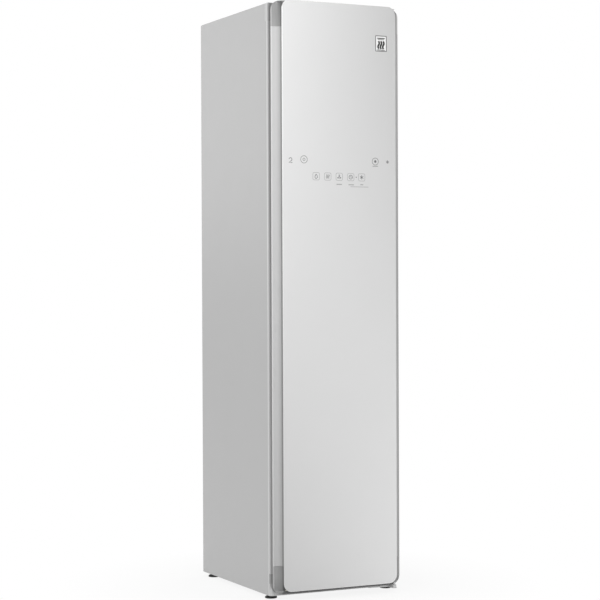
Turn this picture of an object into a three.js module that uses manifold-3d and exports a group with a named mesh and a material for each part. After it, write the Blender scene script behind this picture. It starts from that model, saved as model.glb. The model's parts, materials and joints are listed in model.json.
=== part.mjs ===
// A clothes care steam cabinet: a slim steel closet with a flat glass door, a garment chamber with
// a moving hanger bar, two water tanks below it and the heat pump and steam machinery behind them.
// Millimetres. X runs across the front, Y from the door to the rear, Z up.
// The origin is the middle of the cabinet's footprint, on the floor.

import * as THREE from 'three';
import { ConvexGeometry } from 'three/addons/geometries/ConvexGeometry.js';
import { mergeVertices } from 'three/addons/utils/BufferGeometryUtils.js';
import Module from 'manifold-3d';

const wasm = await Module();
wasm.setup();

// Whole cabinet
const unitWidth = 445;
const unitDepth = 585;
const unitHeight = 1850;
const fit = 0.3; // gap between two pieces that touch
const running = 0.8; // gap round a piece that moves
const overrun = 5; // how far a cutting tool runs past the face that it cuts

// Outer case
const doorDepth = 50; // glass face to the front plane of the case
const footHeight = 11.6; // floor to the underside of the case
const topDrop = 5; // top of the case below the top of the door
const sheet = 1.2; // steel of the case
const caseBend = 3;
const frontFlange = 36; // turned in at the front, where the door seal sits
const rearFlange = 14;
const rearTopRadius = 10;
const topTrimHeight = 56;
const topTrimDepth = 24.5;
const kickTrimHeight = 68.4;
const kickTrimDepth = 16.5;
const trimWall = 2.5;
const trimChamfer = 7; // at the foot of the case
const trimChamferHeight = 38.4;
const trayWall = 1.5;
const trayLip = 26;
const traySwageShare = 0.9; // spacing of the two pressed beads
const topRearFlange = 30;
const beadWidth = 60;
const beadDepth = 5;
const beadRun = 8; // sloped part on each side of a bead
const coverHeight = 398; // the service cover at the foot of the rear panel
const louvreLength = 92;
const louvreHeight = 5;
const louvrePitch = 14;
const louvreRows = 9;
const inletWidth = 46;
const inletHeight = 28;
const inletInset = 69; // middle of the inlet from the edge of the cover
const inletZ = 60;
const inletWall = 2.5;
const inletDepth = 22;

// Levelling feet
const footRadius = 19;
const footPad = 8;
const footNeck = 9;
const footStud = 4;
const footStudLength = 34;
const footBoss = 9;
const footBossHeight = 17;
const footInsetX = 19.5;
const footInsetFront = 86.5; // from the glass face
const footInsetRear = 49.5;

// Garment chamber
const chamberInset = 37.5; // side of the chamber inside the side of the case
const linerWall = 2.5;
const linerFlange = 20;
const chamberFloorZ = 455;
const driveRoom = 110; // ceiling of the chamber below the top of the case
const machineDepth = 76; // rear wall of the chamber to the rear panel
const ledgeZ = 560;
const ledgeDepth = 9;
const ledgeHeight = 8;
const ledgeRun = 300;
const fluteWidth = 34;
const fluteDepth = 4;
const airSlotWidth = 8;
const airSlotHeight = 70;
const airSlotPitch = 21;
const airSlotCount = 11;
const airSlotZ = 505;
const nozzleRadius = 9;
const nozzleZ = 620;
const lampWidth = 120;
const lampDepth = 26;
const lampThickness = 7;
const lampInset = 72.5; // behind the front plane of the case
const lampLip = 4;
const linerFrontGap = 1.5;
const fluteCount = 5;
const flutePitch = 78;
const ductProud = 6;
const nozzleFlange = 6;
const nozzleNeck = 12;
const stemSlack = 2;
const floorSlotCount = 5;
const floorSlotPitch = 26;
const floorSlotY = 60;
const floorSlotLength = 190;
const insertRim = 5;

// Shelf, lint filter and aroma case
const shelfThickness = 12;
const shelfFrame = 14;
const shelfBar = 5;
const shelfBarCount = 11;
const shelfClear = 3;
const filterSpare = 35; // filter narrower than half the chamber
const filterDepth = 34;
const filterHeight = 78;
const filterWall = 3;
const filterInset = 93; // its middle from the side of the chamber
const pocketInset = 64.5;
const aromaSpare = 89;
const aromaInset = 89;
const gripHeight = 9;
const gripWidth = 46;
const gripDepth = 10;

// Tanks
const tankSpare = 54.5; // tank narrower than half the case
const tankDepth = 98;
const tankHeight = 262;
const tankWall = 2.5;
const tankRadius = 14;
const tankLid = 16;
const tankSetback = 30; // tank front behind the front plane of the case
const bayFloorZ = 84;
const bayWall = 2.5;
const tankGripWidth = 84;
const tankGripHeight = 26;
const tankGripDepth = 16;
const tankCapRadius = 17;
const tankCapHeight = 8;
const lidSkirt = 6;
const bayFrontGap = 4;
const bayHead = 10; // room above a tank
const bayLeg = 8;

// Door
const glassInset = 24.5; // edge of the glass inside the rim of the grip rail
const glassBottomZ = 28.7;
const glassThickness = 4;
const glassRadius = 27;
const glassBevel = 1.2;
const frameSetIn = 2; // door frame inside the edge of the glass
const rimY = 29; // glass face to the rim of the grip rail
const doorRadius = 30;
const doorBottomZ = 18.7;
const railInset = 30; // how far the cove of the grip rail goes in from the rim
const coveDepth = 13.5;
const railLand = 8; // flat of the rail behind the glass
const railWall = 2.5;
const topCapHeight = 80;
const bottomCapHeight = 88;
const capEnd = 14; // solid end of a cap
const topCapLip = 3.5; // skin over the open end of the groove, on the side without hinges
const rimLand = 4; // flat edge of the rim before the cove starts
const innerPanelBack = 42.5; // glass face to the back of the door's inner panel
const innerPanelInset = 9;
const innerPanelWall = 2.5;
const damInset = 57.5;
const damDepth = 18;
const damMargin = 15;
const sealInset = 22;
const sealWidth = 14;
const sealLip = 6;
const sealFoot = 2;
const sealRadius = 24;
const sealBottomZ = 52;
const sealTopDrop = 42;
const boardInset = 18; // inside the edge of the glass
const boardHeight = 112;
const boardThickness = 1.6;
const boardRadius = 4;
const boardZ = 1325;
const boardPocket = 5;

// Door hinges
const hingeInset = 21.5; // hinge line inside the side of the case
const hingeLineBack = 25; // hinge line behind the glass face
const hingePlate = 3;
const hingeArm = 8; // half width of the arm
const hingePin = 4;
const hingePinLength = 9;
const hingeSetback = 7; // of the base plate behind the case front
const hingeBase = 66;
const hingeBaseDepth = 40;
const hingeClear = 1.2;
const hingeSkin = 1; // of the top cap over the hinge arm

// Trouser press on the inside of the door
const pressInset = 97.5; // inside the side of the door
const pressHeight = 620;
const pressBottomZ = 640;
const pressThickness = 14;
const pressStandOff = 7; // room for the trousers, between the flap and the door
const pressRadius = 16;
const pressRibCount = 7;
const pressRibDepth = 4;
const pressPinRadius = 3;
const pressKnuckle = 7;
const pressKnuckleHeight = 40;
const pressKnob = 15;
const pressKnobThickness = 7;
const pressStem = 4;
const pressTravel = 3;
const pressButtonInset = 27;
const pressButtonZ = 950;

// Moving hanger
const hangerTravel = 12; // each way
const driveFloorGap = 5;
const carriageThickness = 5;
const carriageInset = 60;
const carriageDepth = 104;
const crankDisc = 24;
const crankDiscThickness = 5;
const crankPin = 4;
const crankSlotClear = 2.8; // slot wall to pin, which covers the sine that a fixed ratio leaves out
const crankShaft = 6;
const plateThickness = 3;
const plateLip = 10;
const beltPulleyLarge = 48;
const beltPulleySmall = 16;
const pulleyWidth = 13;
const pulleyHub = 12;
const beltThickness = 1.8;
const beltWidth = 9;
const motorInset = 75;
const motorRadius = 30;
const motorLength = 44;
const motorFlange = 40;
const motorLeg = 5;
const stemInset = 89;
const stemSize = 10;
const barInset = 35;
const barDepth = 26;
const barHeight = 20;
const barDrop = 42; // top of the bar below the chamber ceiling
const barNotch = 7;
const barNotchCount = 7;
const barSocket = 9;
const barEdge = 5;
const pulleyHoles = 6;
const motorGap = 3;
const motorLegAngles = [110, 180, 250];

// Machine compartment
const compressorRadius = 62;
const compressorHeight = 150;
const compressorFoot = 14;
const compressorInset = 130.5;
const compressorSetback = 104;
const coilWidth = 250;
const coilDepth = 46;
const coilHeight = 150;
const finPitch = 25;
const finThickness = 2;
const coilTube = 4.5;
const coilTubeRows = 2;
const coilZ = 268;
const evaporatorSetback = 47.7; // middle of the coil behind the tank bay
const coilGap = 14;
const fanRadius = 58;
const fanHub = 14;
const fanWidth = 42;
const fanGap = 2;
const fanPlate = 2;
const fanBlades = 12;
const fanBlade = 1.6;
const fanBladeReach = 12;
const fanShaft = 4;
const fanZ = 345;
const fanMotorRadius = 36;
const fanMotorDepth = 11;
const scrollWall = 3;
const scrollClear = 6;
const scrollGrowth = 22;
const scrollSteps = 20;
const tongueAngle = 60;
const boilerRadius = 44;
const boilerHeight = 120;
const boilerInset = 82.5;
const boilerSetback = 63; // behind the coil tray
const boilerLegs = 22;
const boilerLeg = 5;
const boilerLegAngles = [60, 180, 300];
const boilerSeam = 4;
const boilerTopZ = 170;
const steamTube = 6;
const steamWall = 2;
const pipeBend = 30;
const pumpLength = 70;
const pumpRadius = 22;
const pumpX = -40;
const pumpSetback = 63.7;
const controlWidth = 150;
const controlDepth = 100;
const controlHeight = 34;

// Shares of the size that each belongs to
const louvrePlaceShare = 0.75;
const louvreHeightShare = 0.62;
const inletRoundShare = 1 / 6;
const inletPinPlaceShare = 0.22;
const inletPinHeightShare = 1 / 8;
const inletPinReachShare = 2 / 3;
const gripRoundShare = 1 / 3;
const carriageWindowShare = 0.5;
const discReliefShare = 0.6;
const pulleyHoleShare = 0.34;
const motorShoulderShare = 0.8;
const domeShare = 1 / 3;
const domeFootShare = 0.75;
const domeShoulderShare = 0.9;
const domeCrownShare = 0.6;
const compressorFootShare = 0.72;
const scrollInletShare = 0.8;
const bladeLeanShare = 1 / 6;
const boilerEndShare = 0.7;
const boilerLegShare = 0.6;
const pumpHeadShare = 1.15;
const pumpHeadPlaceShare = 1 / 3;
const pumpSpoutShare = 1.6;

// Where the main planes lie
const sideX = unitWidth / 2;
const glassY = -unitDepth / 2;
const rearY = unitDepth / 2;
const caseFrontY = glassY + doorDepth;
const caseTopZ = unitHeight - topDrop;
const caseBaseZ = footHeight;
const insideX = sideX - sheet - fit; // half width of what stands between the side panels
const rearPanelY = rearY - sheet - fit; // outer face of the rear panel, inside the flanges
const linerFrontY = caseFrontY + sheet + fit;
const topTrimZ = caseTopZ - topTrimHeight;
const kickTrimZ = caseBaseZ + kickTrimHeight;
const rearX = sideX - caseBend - fit; // half width of what stands inside the rear bends
const inletX = inletInset - rearX;
const glassWidth = unitWidth - 2 * glassInset;
const boardWidth = glassWidth - 2 * boardInset;
const chamberHalf = sideX - chamberInset;
const chamberRearY = rearPanelY - machineDepth;
const chamberCeilingZ = caseTopZ - driveRoom;
const hingeX = sideX - hingeInset;
const sealTopZ = unitHeight - sealTopDrop;
const pressWidth = unitWidth - 2 * pressInset;
const pressButtonX = pressButtonInset - pressWidth / 2;
const filterWidth = chamberHalf - filterSpare;
const filterCrossX = filterInset - chamberHalf;
const aromaWidth = chamberHalf - aromaSpare;
const aromaCrossX = chamberHalf - aromaInset;
const tankWidth = sideX - tankSpare;
const lampY = caseFrontY + lampInset;
const pocketFrontY = caseFrontY + pocketInset;

// Shapes are made from closed geometries, joined and cut as solids
function solid(geometry) {
  const bare = geometry.clone();
  bare.deleteAttribute('normal');
  bare.deleteAttribute('uv');
  const merged = mergeVertices(bare, 1e-4);
  const index = Array.from(merged.index.array);
  const kept = [];
  for (let i = 0; i < index.length; i += 3) {
    const [a, b, c] = index.slice(i, i + 3);
    if (a !== b && b !== c && c !== a) kept.push(a, b, c);
  }
  const vertProperties = new Float32Array(merged.attributes.position.array);
  return new wasm.Manifold(new wasm.Mesh({ numProp: 3, vertProperties, triVerts: new Uint32Array(kept) }));
}

function geometryOf(body) {
  const mesh = body.getMesh();
  const geometry = new THREE.BufferGeometry();
  geometry.setAttribute('position', new THREE.BufferAttribute(new Float32Array(mesh.vertProperties), 3));
  geometry.setIndex(Array.from(mesh.triVerts));
  geometry.computeVertexNormals();
  return geometry;
}

function joined(bodies) {
  return bodies.reduce((whole, body) => whole.add(body));
}

function carved(body, tools) {
  return tools.reduce((whole, tool) => whole.subtract(tool), body);
}

function moved(body, x, y, z) {
  return body.translate([x, y, z]);
}

// A box between two corners
function block(x0, x1, y0, y1, z0, z1) {
  const geometry = new THREE.BoxGeometry(x1 - x0, y1 - y0, z1 - z0);
  geometry.translate((x0 + x1) / 2, (y0 + y1) / 2, (z0 + z1) / 2);
  return solid(geometry);
}

function outline(points) {
  return new THREE.Shape(points.map(([u, v]) => new THREE.Vector2(u, v)));
}

function extrusion(points, length, holes = []) {
  const shape = outline(points);
  shape.holes = holes.map((hole) => outline(hole));
  return new THREE.ExtrudeGeometry(shape, { depth: length, bevelEnabled: false, steps: 1 });
}

// A prism along Z of an outline in X and Y
function prismZ(points, z0, z1, holes = []) {
  return solid(extrusion(points, z1 - z0, holes).translate(0, 0, z0));
}

// A prism along X of an outline in Y and Z
function prismX(points, x0, x1, holes = []) {
  const geometry = extrusion(points, x1 - x0, holes);
  const turn = new THREE.Matrix4().makeBasis(
    new THREE.Vector3(0, 1, 0),
    new THREE.Vector3(0, 0, 1),
    new THREE.Vector3(1, 0, 0),
  );
  return solid(geometry.applyMatrix4(turn).translate(x0, 0, 0));
}

// A prism along Y of an outline in X and Z
function prismY(points, y0, y1, holes = []) {
  const geometry = extrusion(points, y1 - y0, holes);
  return solid(geometry.rotateX(Math.PI / 2).translate(0, y1, 0));
}

// Points on an arc, from one angle to another, in degrees
function arc(u, v, radius, from, to, steps = 4) {
  return Array.from({ length: steps + 1 }, (_, i) => {
    const angle = THREE.MathUtils.degToRad(from + ((to - from) * i) / steps);
    return [u + radius * Math.cos(angle), v + radius * Math.sin(angle)];
  });
}

function circle(u, v, radius, steps = 20) {
  return arc(u, v, radius, 0, 360, steps).slice(0, -1);
}

function rounded(u0, u1, v0, v1, radius, steps = 3) {
  return [
    ...arc(u1 - radius, v0 + radius, radius, -90, 0, steps),
    ...arc(u1 - radius, v1 - radius, radius, 0, 90, steps),
    ...arc(u0 + radius, v1 - radius, radius, 90, 180, steps),
    ...arc(u0 + radius, v0 + radius, radius, 180, 270, steps),
  ];
}

// A slot with round ends, long in its first direction
function slot(u, v, length, width, steps = 3) {
  const reach = (length - width) / 2;
  return [...arc(u + reach, v, width / 2, -90, 90, steps), ...arc(u - reach, v, width / 2, 90, 270, steps)];
}

function mirrored(points) {
  return points.map(([u, v]) => [-u, v]);
}

// The path shifted to its left by a distance, with mitred corners
function beside(path, distance) {
  return path.map(([u, v], i) => {
    const before = path[Math.max(i - 1, 0)];
    const after = path[Math.min(i + 1, path.length - 1)];
    const normals = [];
    if (i > 0) normals.push(leftOf(before, [u, v]));
    if (i < path.length - 1) normals.push(leftOf([u, v], after));
    const sum = normals.reduce(([a, b], [c, d]) => [a + c, b + d], [0, 0]);
    const share = normals.length / (sum[0] ** 2 + sum[1] ** 2);
    return [u + sum[0] * distance * share, v + sum[1] * distance * share];
  });
}

function leftOf([u0, v0], [u1, v1]) {
  const length = Math.hypot(u1 - u0, v1 - v0);
  return [(v0 - v1) / length, (u1 - u0) / length];
}

// The section of folded sheet: a path given a thickness on its left, or on its right if negative
function folded(path, thickness) {
  return [...path, ...beside(path, thickness).reverse()];
}

// A round body about an upright line, from a profile of radius and height that starts and ends on it
function turned(profile, segments = 16) {
  const points = profile.map(([r, z]) => new THREE.Vector2(r, z));
  return solid(new THREE.LatheGeometry(points, segments).rotateX(Math.PI / 2));
}

function rod(radius, z0, z1, segments = 12) {
  return turned([[0, z0], [radius, z0], [radius, z1], [0, z1]], segments);
}

function tube(inner, outer, z0, z1, segments = 16) {
  return turned([[inner, z0], [outer, z0], [outer, z1], [inner, z1], [inner, z0]], segments);
}

// A round pipe along a smooth curve through the points
function pipe(points, radius, steps, sides = 8) {
  const curve = new THREE.CatmullRomCurve3(points.map((p) => new THREE.Vector3(...p)));
  const section = outline(circle(0, 0, radius, sides));
  return solid(new THREE.ExtrudeGeometry(section, { steps, extrudePath: curve }));
}

function ranked(count, pitch) {
  return Array.from({ length: count }, (_, i) => (i - (count - 1) / 2) * pitch);
}

const cabinet = new THREE.Group();

function part(name, body, color, roughness, metalness = 0) {
  const material = new THREE.MeshStandardMaterial({ color, roughness, metalness });
  const mesh = new THREE.Mesh(geometryOf(body), material);
  mesh.name = name;
  cabinet.add(mesh);
  return mesh;
}

const caseWhite = 0xc4c4c4;
const linerWhite = 0xe4e4e2;
const trimSilver = 0xb4b4b4;
const steelGrey = 0x9a9a9a;
const darkGrey = 0x4a4a4a;
const lidBlue = 0x6f8fa8;
const foamWhite = 0xf0eee8;
const tankClear = 0xcfe0e6;
const rubberBlack = 0x1c1c1c;

// Outer case
function sidePanel(side) {
  const section = folded(
    [
      [sideX - frontFlange, caseFrontY],
      ...arc(sideX - caseBend, caseFrontY + caseBend, caseBend, -90, 0),
      ...arc(sideX - caseBend, rearY - caseBend, caseBend, 0, 90),
      [sideX - rearFlange, rearY],
    ],
    sheet,
  );
  const profile = [
    [caseFrontY - overrun, caseBaseZ],
    [rearY, caseBaseZ],
    ...arc(rearY - rearTopRadius, caseTopZ - rearTopRadius, rearTopRadius, 0, 90),
    [caseFrontY - overrun, caseTopZ],
  ];
  const web = prismZ(side > 0 ? section : mirrored(section), caseBaseZ, caseTopZ);
  const shaped = web.intersect(prismX(profile, -sideX - overrun, sideX + overrun));
  const acrossX = sideX + overrun;
  return carved(shaped, [
    block(
      -acrossX,
      acrossX,
      caseFrontY - overrun,
      caseFrontY + topTrimDepth + fit,
      topTrimZ - fit,
      caseTopZ + overrun,
    ),
    block(
      -acrossX,
      acrossX,
      caseFrontY - overrun,
      caseFrontY + kickTrimDepth + fit,
      caseBaseZ - overrun,
      kickTrimZ + fit,
    ),
  ]);
}

function topPanel() {
  const frontEdgeY = caseFrontY + topTrimDepth + fit;
  const section = folded(
    [
      [frontEdgeY, caseTopZ],
      ...arc(rearY - rearTopRadius, caseTopZ - rearTopRadius, rearTopRadius, 90, 0),
      [rearY, caseTopZ - topRearFlange],
    ],
    -sheet,
  );
  const lowZ = caseTopZ - topRearFlange - overrun;
  const corners = [
    [rearFlange, sheet],
    [caseBend, caseBend],
  ].flatMap(([insetX, insetY]) => {
    const x = sideX - insetX - fit;
    const y = rearY - insetY - fit;
    const cutter = (x0, x1) => block(x0, x1, y, rearY + overrun, lowZ, caseTopZ + overrun);
    return [cutter(x, sideX), cutter(-sideX, -x)];
  });
  return carved(prismX(section, -insideX, insideX), corners);
}

// A strip round the front of the case, bevelled at its two upright corners
function trimOutline(depth, chamfer) {
  const half = [
    [chamfer - sideX, caseFrontY],
    [-sideX, caseFrontY + chamfer],
    [-sideX, caseFrontY + depth],
  ];
  return [...mirrored(half).reverse(), ...half];
}

function trimStrip(depth, chamfer, z0, z1) {
  return prismZ(folded(trimOutline(depth, chamfer), -trimWall), z0, z1);
}

// The top trim is a strip across the front with a lid
function topTrim() {
  const strip = trimStrip(topTrimDepth, caseBend, topTrimZ, caseTopZ);
  return strip.add(prismZ(trimOutline(topTrimDepth, caseBend), caseTopZ - trimWall, caseTopZ));
}

// The kick trim has broad chamfers at its foot, closed above by a shelf
function kickTrim() {
  const chamferTopZ = caseBaseZ + trimChamferHeight;
  return joined([
    trimStrip(kickTrimDepth, trimChamfer, caseBaseZ, chamferTopZ),
    prismZ(trimOutline(kickTrimDepth, caseBend), chamferTopZ, chamferTopZ + trimWall),
    trimStrip(kickTrimDepth, caseBend, chamferTopZ, kickTrimZ),
  ]);
}

const footPlaces = [
  ['front_left', -1, glassY + footInsetFront],
  ['front_right', 1, glassY + footInsetFront],
  ['rear_left', -1, rearY - footInsetRear],
  ['rear_right', 1, rearY - footInsetRear],
];
const footX = sideX - footInsetX;

const trayFrontY = caseFrontY + kickTrimDepth + fit;
const trayRearY = rearPanelY - sheet - fit;

function baseTray() {
  const x = insideX;
  const shell = block(-x, x, trayFrontY, trayRearY, caseBaseZ, caseBaseZ + trayLip).subtract(
    block(
      trayWall - x,
      x - trayWall,
      trayFrontY + trayWall,
      trayRearY - trayWall,
      caseBaseZ + trayWall,
      caseBaseZ + trayLip + overrun,
    ),
  );
  const bosses = footPlaces.map(([, side, y]) =>
    moved(rod(footBoss, caseBaseZ, caseBaseZ + footBossHeight), side * footX, y, 0));
  const holes = footPlaces.map(([, side, y]) =>
    moved(rod(footStud + fit, 0, caseBaseZ + footBossHeight + overrun), side * footX, y, 0));
  const swages = ranked(2, insideX * traySwageShare).map((mid) =>
    block(mid - trayLip / 2, mid + trayLip / 2, trayFrontY + beadWidth, trayRearY - beadWidth,
      caseBaseZ + trayWall / 2, caseBaseZ + beadDepth));
  return carved(joined([shell, ...swages, ...bosses]), holes);
}

function foot() {
  return turned([
    [0, 0],
    [footRadius - 2 * fit, 0],
    [footRadius, footPad / 4],
    [footRadius - fit, footPad],
    [footNeck, footPad],
    [footNeck, caseBaseZ - fit],
    [footStud, caseBaseZ - fit],
    [footStud, footStudLength],
    [0, footStudLength],
  ], 14);
}

// The rear panel is one sheet with two upright beads pressed towards the inside
function rearPanel() {
  const bead = (mid) => [
    [mid + beadWidth / 2 + beadRun, rearPanelY],
    [mid + beadWidth / 2, rearPanelY - beadDepth],
    [mid - beadWidth / 2, rearPanelY - beadDepth],
    [mid - beadWidth / 2 - beadRun, rearPanelY],
  ];
  const section = folded(
    [[rearX, rearPanelY], ...bead(rearX / 2), ...bead(-rearX / 2), [-rearX, rearPanelY]],
    sheet,
  );
  return prismZ(section, caseBaseZ + coverHeight + fit, caseTopZ - rearTopRadius - fit);
}

function rearCover() {
  const y0 = rearPanelY - sheet;
  const plate = block(-rearX, rearX, y0, rearPanelY, caseBaseZ + fit, caseBaseZ + coverHeight);
  const louvres = ranked(louvreRows, louvrePitch).flatMap((z) => [-1, 1].map((side) =>
    prismY(
      slot(
        side * louvreLength * louvrePlaceShare,
        caseBaseZ + coverHeight * louvreHeightShare + z,
        louvreLength,
        louvreHeight,
        2,
      ),
      y0 - overrun,
      rearPanelY + overrun,
    )));
  const inlet = prismY(
    rounded(
      inletX - inletWidth / 2,
      inletX + inletWidth / 2,
      caseBaseZ + inletZ - inletHeight / 2,
      caseBaseZ + inletZ + inletHeight / 2,
      inletHeight * inletRoundShare,
      2,
    ),
    y0 - overrun,
    rearPanelY + overrun,
  );
  return carved(plate, [...louvres, inlet]);
}

// The socket for the mains lead is a cup with three blades, held in the cover's window by its flange
function mainsInlet() {
  const window = (outer, inner) => [
    rounded(
      inletX - inletWidth / 2 + inner,
      inletX + inletWidth / 2 - inner,
      caseBaseZ + inletZ - inletHeight / 2 + inner,
      caseBaseZ + inletZ + inletHeight / 2 - inner,
      inletHeight * inletRoundShare,
      2,
    ),
    rearPanelY - outer,
  ];
  const [cupOutline] = window(0, fit);
  const [roomOutline] = window(0, fit + inletWall);
  const [flangeOutline] = window(0, -inletWall);
  const cup = prismY(cupOutline, rearPanelY - inletDepth, rearPanelY - fit);
  const flange = prismY(flangeOutline, rearPanelY - sheet - fit - inletWall, rearPanelY - sheet - fit);
  const room = prismY(roomOutline, rearPanelY - inletDepth + inletWall, rearPanelY + overrun);
  const half = inletHeight * inletPinHeightShare;
  const pins = [-1, 0, 1].map((place) => {
    const x = inletX + place * inletWidth * inletPinPlaceShare;
    const z = caseBaseZ + inletZ + (place === 0 ? half : 0);
    return block(
      x - inletWall / 2,
      x + inletWall / 2,
      rearPanelY - inletDepth + inletWall / 2,
      rearPanelY - inletDepth + inletDepth * inletPinReachShare,
      z - half,
      z + half,
    );
  });
  return joined([cup.add(flange).subtract(room), ...pins]);
}

part('side_panel_left', sidePanel(-1), caseWhite, 0.42, 0.25);
part('side_panel_right', sidePanel(1), caseWhite, 0.42, 0.25);
part('top_panel', topPanel(), caseWhite, 0.42, 0.25);
part('top_trim', topTrim(), trimSilver, 0.45, 0.2);
part('kick_trim', kickTrim(), trimSilver, 0.45, 0.2);
part('base_tray', baseTray(), steelGrey, 0.45, 0.8);
part('rear_panel', rearPanel(), steelGrey, 0.45, 0.8);
part('rear_service_cover', rearCover(), steelGrey, 0.45, 0.8);
part('mains_inlet', mainsInlet(), darkGrey, 0.6);
for (const [name, side, y] of footPlaces) {
  part(`foot_${name}`, foot(), rubberBlack, 0.7).position.set(side * footX, y, 0);
}

// Door
const rimPlaneY = glassY + rimY;
const railBackY = rimPlaneY + railWall;
const glassBackY = glassY + glassThickness;
const doorFrontY = glassBackY + fit; // what stands behind the glass starts here
const coveX = sideX - railInset;
const coveY = rimPlaneY - coveDepth;
const innerBackY = glassY + innerPanelBack;
const innerX = sideX - innerPanelInset;
const hinge = [hingeX, glassY + hingeLineBack];

// A body that spans round-cornered outlines in X and Z, each at its own Y
function spanned(outlines) {
  const points = outlines.flatMap(([y, corners]) => corners.map(([x, z]) => new THREE.Vector3(x, y, z)));
  return solid(new ConvexGeometry(points));
}

function doorGlass() {
  const x = glassWidth / 2;
  const edge = (inset) =>
    rounded(inset - x, x - inset, glassBottomZ + inset, unitHeight - inset, glassRadius - inset, 6);
  return spanned([
    [glassY, edge(glassBevel)],
    [glassY + glassBevel / 2, edge(0)],
    [glassBackY, edge(0)],
  ]);
}

// The door frame narrows from its rim to the glass, all the way round
function doorFrame() {
  const x = glassWidth / 2 - frameSetIn;
  const rim = rounded(-sideX, sideX, doorBottomZ, unitHeight, doorRadius, 6);
  const front = rounded(
    -x,
    x,
    glassBottomZ + frameSetIn,
    unitHeight - frameSetIn,
    glassRadius - frameSetIn,
    6,
  );
  return spanned([[doorFrontY, front], [rimPlaneY, rim], [railBackY, rim]]);
}

// The grip rail, from its rim round a quarter ellipse to a land behind the glass
const railPath = [
  [sideX, rimPlaneY],
  ...arc(0, 0, 1, 0, 90, 8).map(([across, along]) => [
    sideX - rimLand - (railInset - rimLand) * along,
    coveY + coveDepth * across,
  ]),
  [coveX, doorFrontY],
  [coveX - railLand, doorFrontY],
];

function gripSection(side) {
  const section = folded(railPath, -railWall);
  return side > 0 ? section : mirrored(section);
}

const topCapZ = unitHeight - topCapHeight;
const bottomCapZ = doorBottomZ + bottomCapHeight;
const coreBottomZ = doorBottomZ + capEnd + fit;
const coreTopZ = unitHeight - capEnd - fit;

function gripRail(side) {
  return prismZ(gripSection(side), bottomCapZ + fit, topCapZ - fit);
}

function doorCap(z0, z1, endZ0, endZ1) {
  const frame = doorFrame();
  const legs = [-1, 1].map((side) => prismZ(gripSection(side), z0, z1).intersect(frame));
  const end = frame.intersect(block(-sideX, sideX, glassY, innerBackY, endZ0, endZ1));
  return joined([end, ...legs]);
}

function topCap() {
  const cap = doorCap(topCapZ, unitHeight, unitHeight - capEnd, unitHeight);
  const bore = moved(rod(hingePin + hingeClear / 2, topCapZ, caseTopZ), ...hinge, 0);
  const notch = block(
    hinge[0] - hingeArm - hingeClear,
    sideX + overrun,
    hinge[1] - hingeArm - hingeClear,
    innerBackY,
    caseTopZ - hingeClear,
    unitHeight - hingeSkin,
  );
  const open = [...railPath.slice(0, -1), [coveX, glassY - overrun], [sideX, glassY - overrun]];
  const groove = prismZ(mirrored(open), unitHeight - capEnd - overrun, unitHeight - topCapLip);
  return carved(cap, [bore, notch, groove]);
}

function bottomCap() {
  const cap = doorCap(doorBottomZ, bottomCapZ, doorBottomZ, doorBottomZ + capEnd);
  return cap.subtract(moved(rod(hingePin + hingeClear / 2, 0, bottomCapZ), ...hinge, 0));
}

function doorCore() {
  const inner = beside(railPath, -railWall - fit);
  const x = innerX - innerPanelWall - fit;
  const [landX, landY] = inner.at(-1);
  const half = [
    [x, innerBackY - innerPanelWall - fit],
    [x, railBackY + fit],
    ...inner.filter(([u]) => u < x).slice(0, -1),
    [landX - fit, landY],
    [landX - fit, doorFrontY],
  ];
  const slab = prismZ([...half, ...mirrored(half).reverse()], coreBottomZ, coreTopZ);
  const behind = rounded(-x, x, coreBottomZ + fit, coreTopZ - fit, doorRadius - innerPanelWall - fit);
  const core = slab.intersect(
    joined([
      block(-sideX, sideX, glassY, railBackY, coreBottomZ, coreTopZ),
      prismY(behind, railBackY - fit, innerBackY),
    ]),
  );
  const pocketX = boardWidth / 2 + running;
  const pocketZ = boardHeight / 2 + running;
  return core.subtract(
    block(-pocketX, pocketX, glassY, doorFrontY + boardPocket, boardZ - pocketZ, boardZ + pocketZ),
  );
}

function touchBoard() {
  const x = boardWidth / 2;
  const z = boardHeight / 2;
  return prismY(
    rounded(-x, x, boardZ - z, boardZ + z, boardRadius, 2),
    doorFrontY,
    doorFrontY + boardThickness,
  );
}

const damX = sideX - damInset;
const damBackY = innerBackY + damDepth;
const damBottomZ = chamberFloorZ + damMargin;
const damTopZ = chamberCeilingZ - damMargin;
const pressX = pressWidth / 2;
const pressBackY = damBackY + pressStandOff;
const pressPivot = [pressX + pressKnuckle + running, pressBackY + pressKnuckle];
const pressTopZ = pressBottomZ + pressHeight;

// The inner panel is a tray with a raised field that reaches into the chamber's mouth
function innerPanel() {
  const shell = (inset, y0, y1, fieldY) => {
    const tray = rounded(
      inset - innerX,
      innerX - inset,
      coreBottomZ - innerPanelWall + inset,
      coreTopZ + innerPanelWall - inset,
      doorRadius - inset,
    );
    const field = rounded(
      inset - damX,
      damX - inset,
      damBottomZ + inset,
      damTopZ - inset,
      doorRadius / 2 - inset,
    );
    return prismY(tray, y0, y1).add(prismY(field, y1 - innerPanelWall / 2, fieldY));
  };
  const skin = shell(0, railBackY + fit, innerBackY, damBackY).subtract(
    shell(innerPanelWall, railBackY - overrun, innerBackY - innerPanelWall, damBackY - innerPanelWall),
  );
  const ends = [pressBottomZ, pressTopZ - pressKnuckleHeight];
  const knuckles = ends.map((z) =>
    prismZ(
      [
        [pressPivot[0] - pressKnuckle, damBackY - innerPanelWall / 2],
        [pressPivot[0] + pressKnuckle, damBackY - innerPanelWall / 2],
        ...arc(...pressPivot, pressKnuckle, 0, 180, 6),
      ],
      z + fit,
      z + pressKnuckleHeight - fit,
    ));
  const pin = moved(
    rod(pressPinRadius, pressBottomZ + pressKnuckleHeight / 2, pressTopZ - pressKnuckleHeight / 2, 12),
    ...pressPivot,
    0,
  );
  return joined([skin, ...knuckles, pin]);
}

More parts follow.
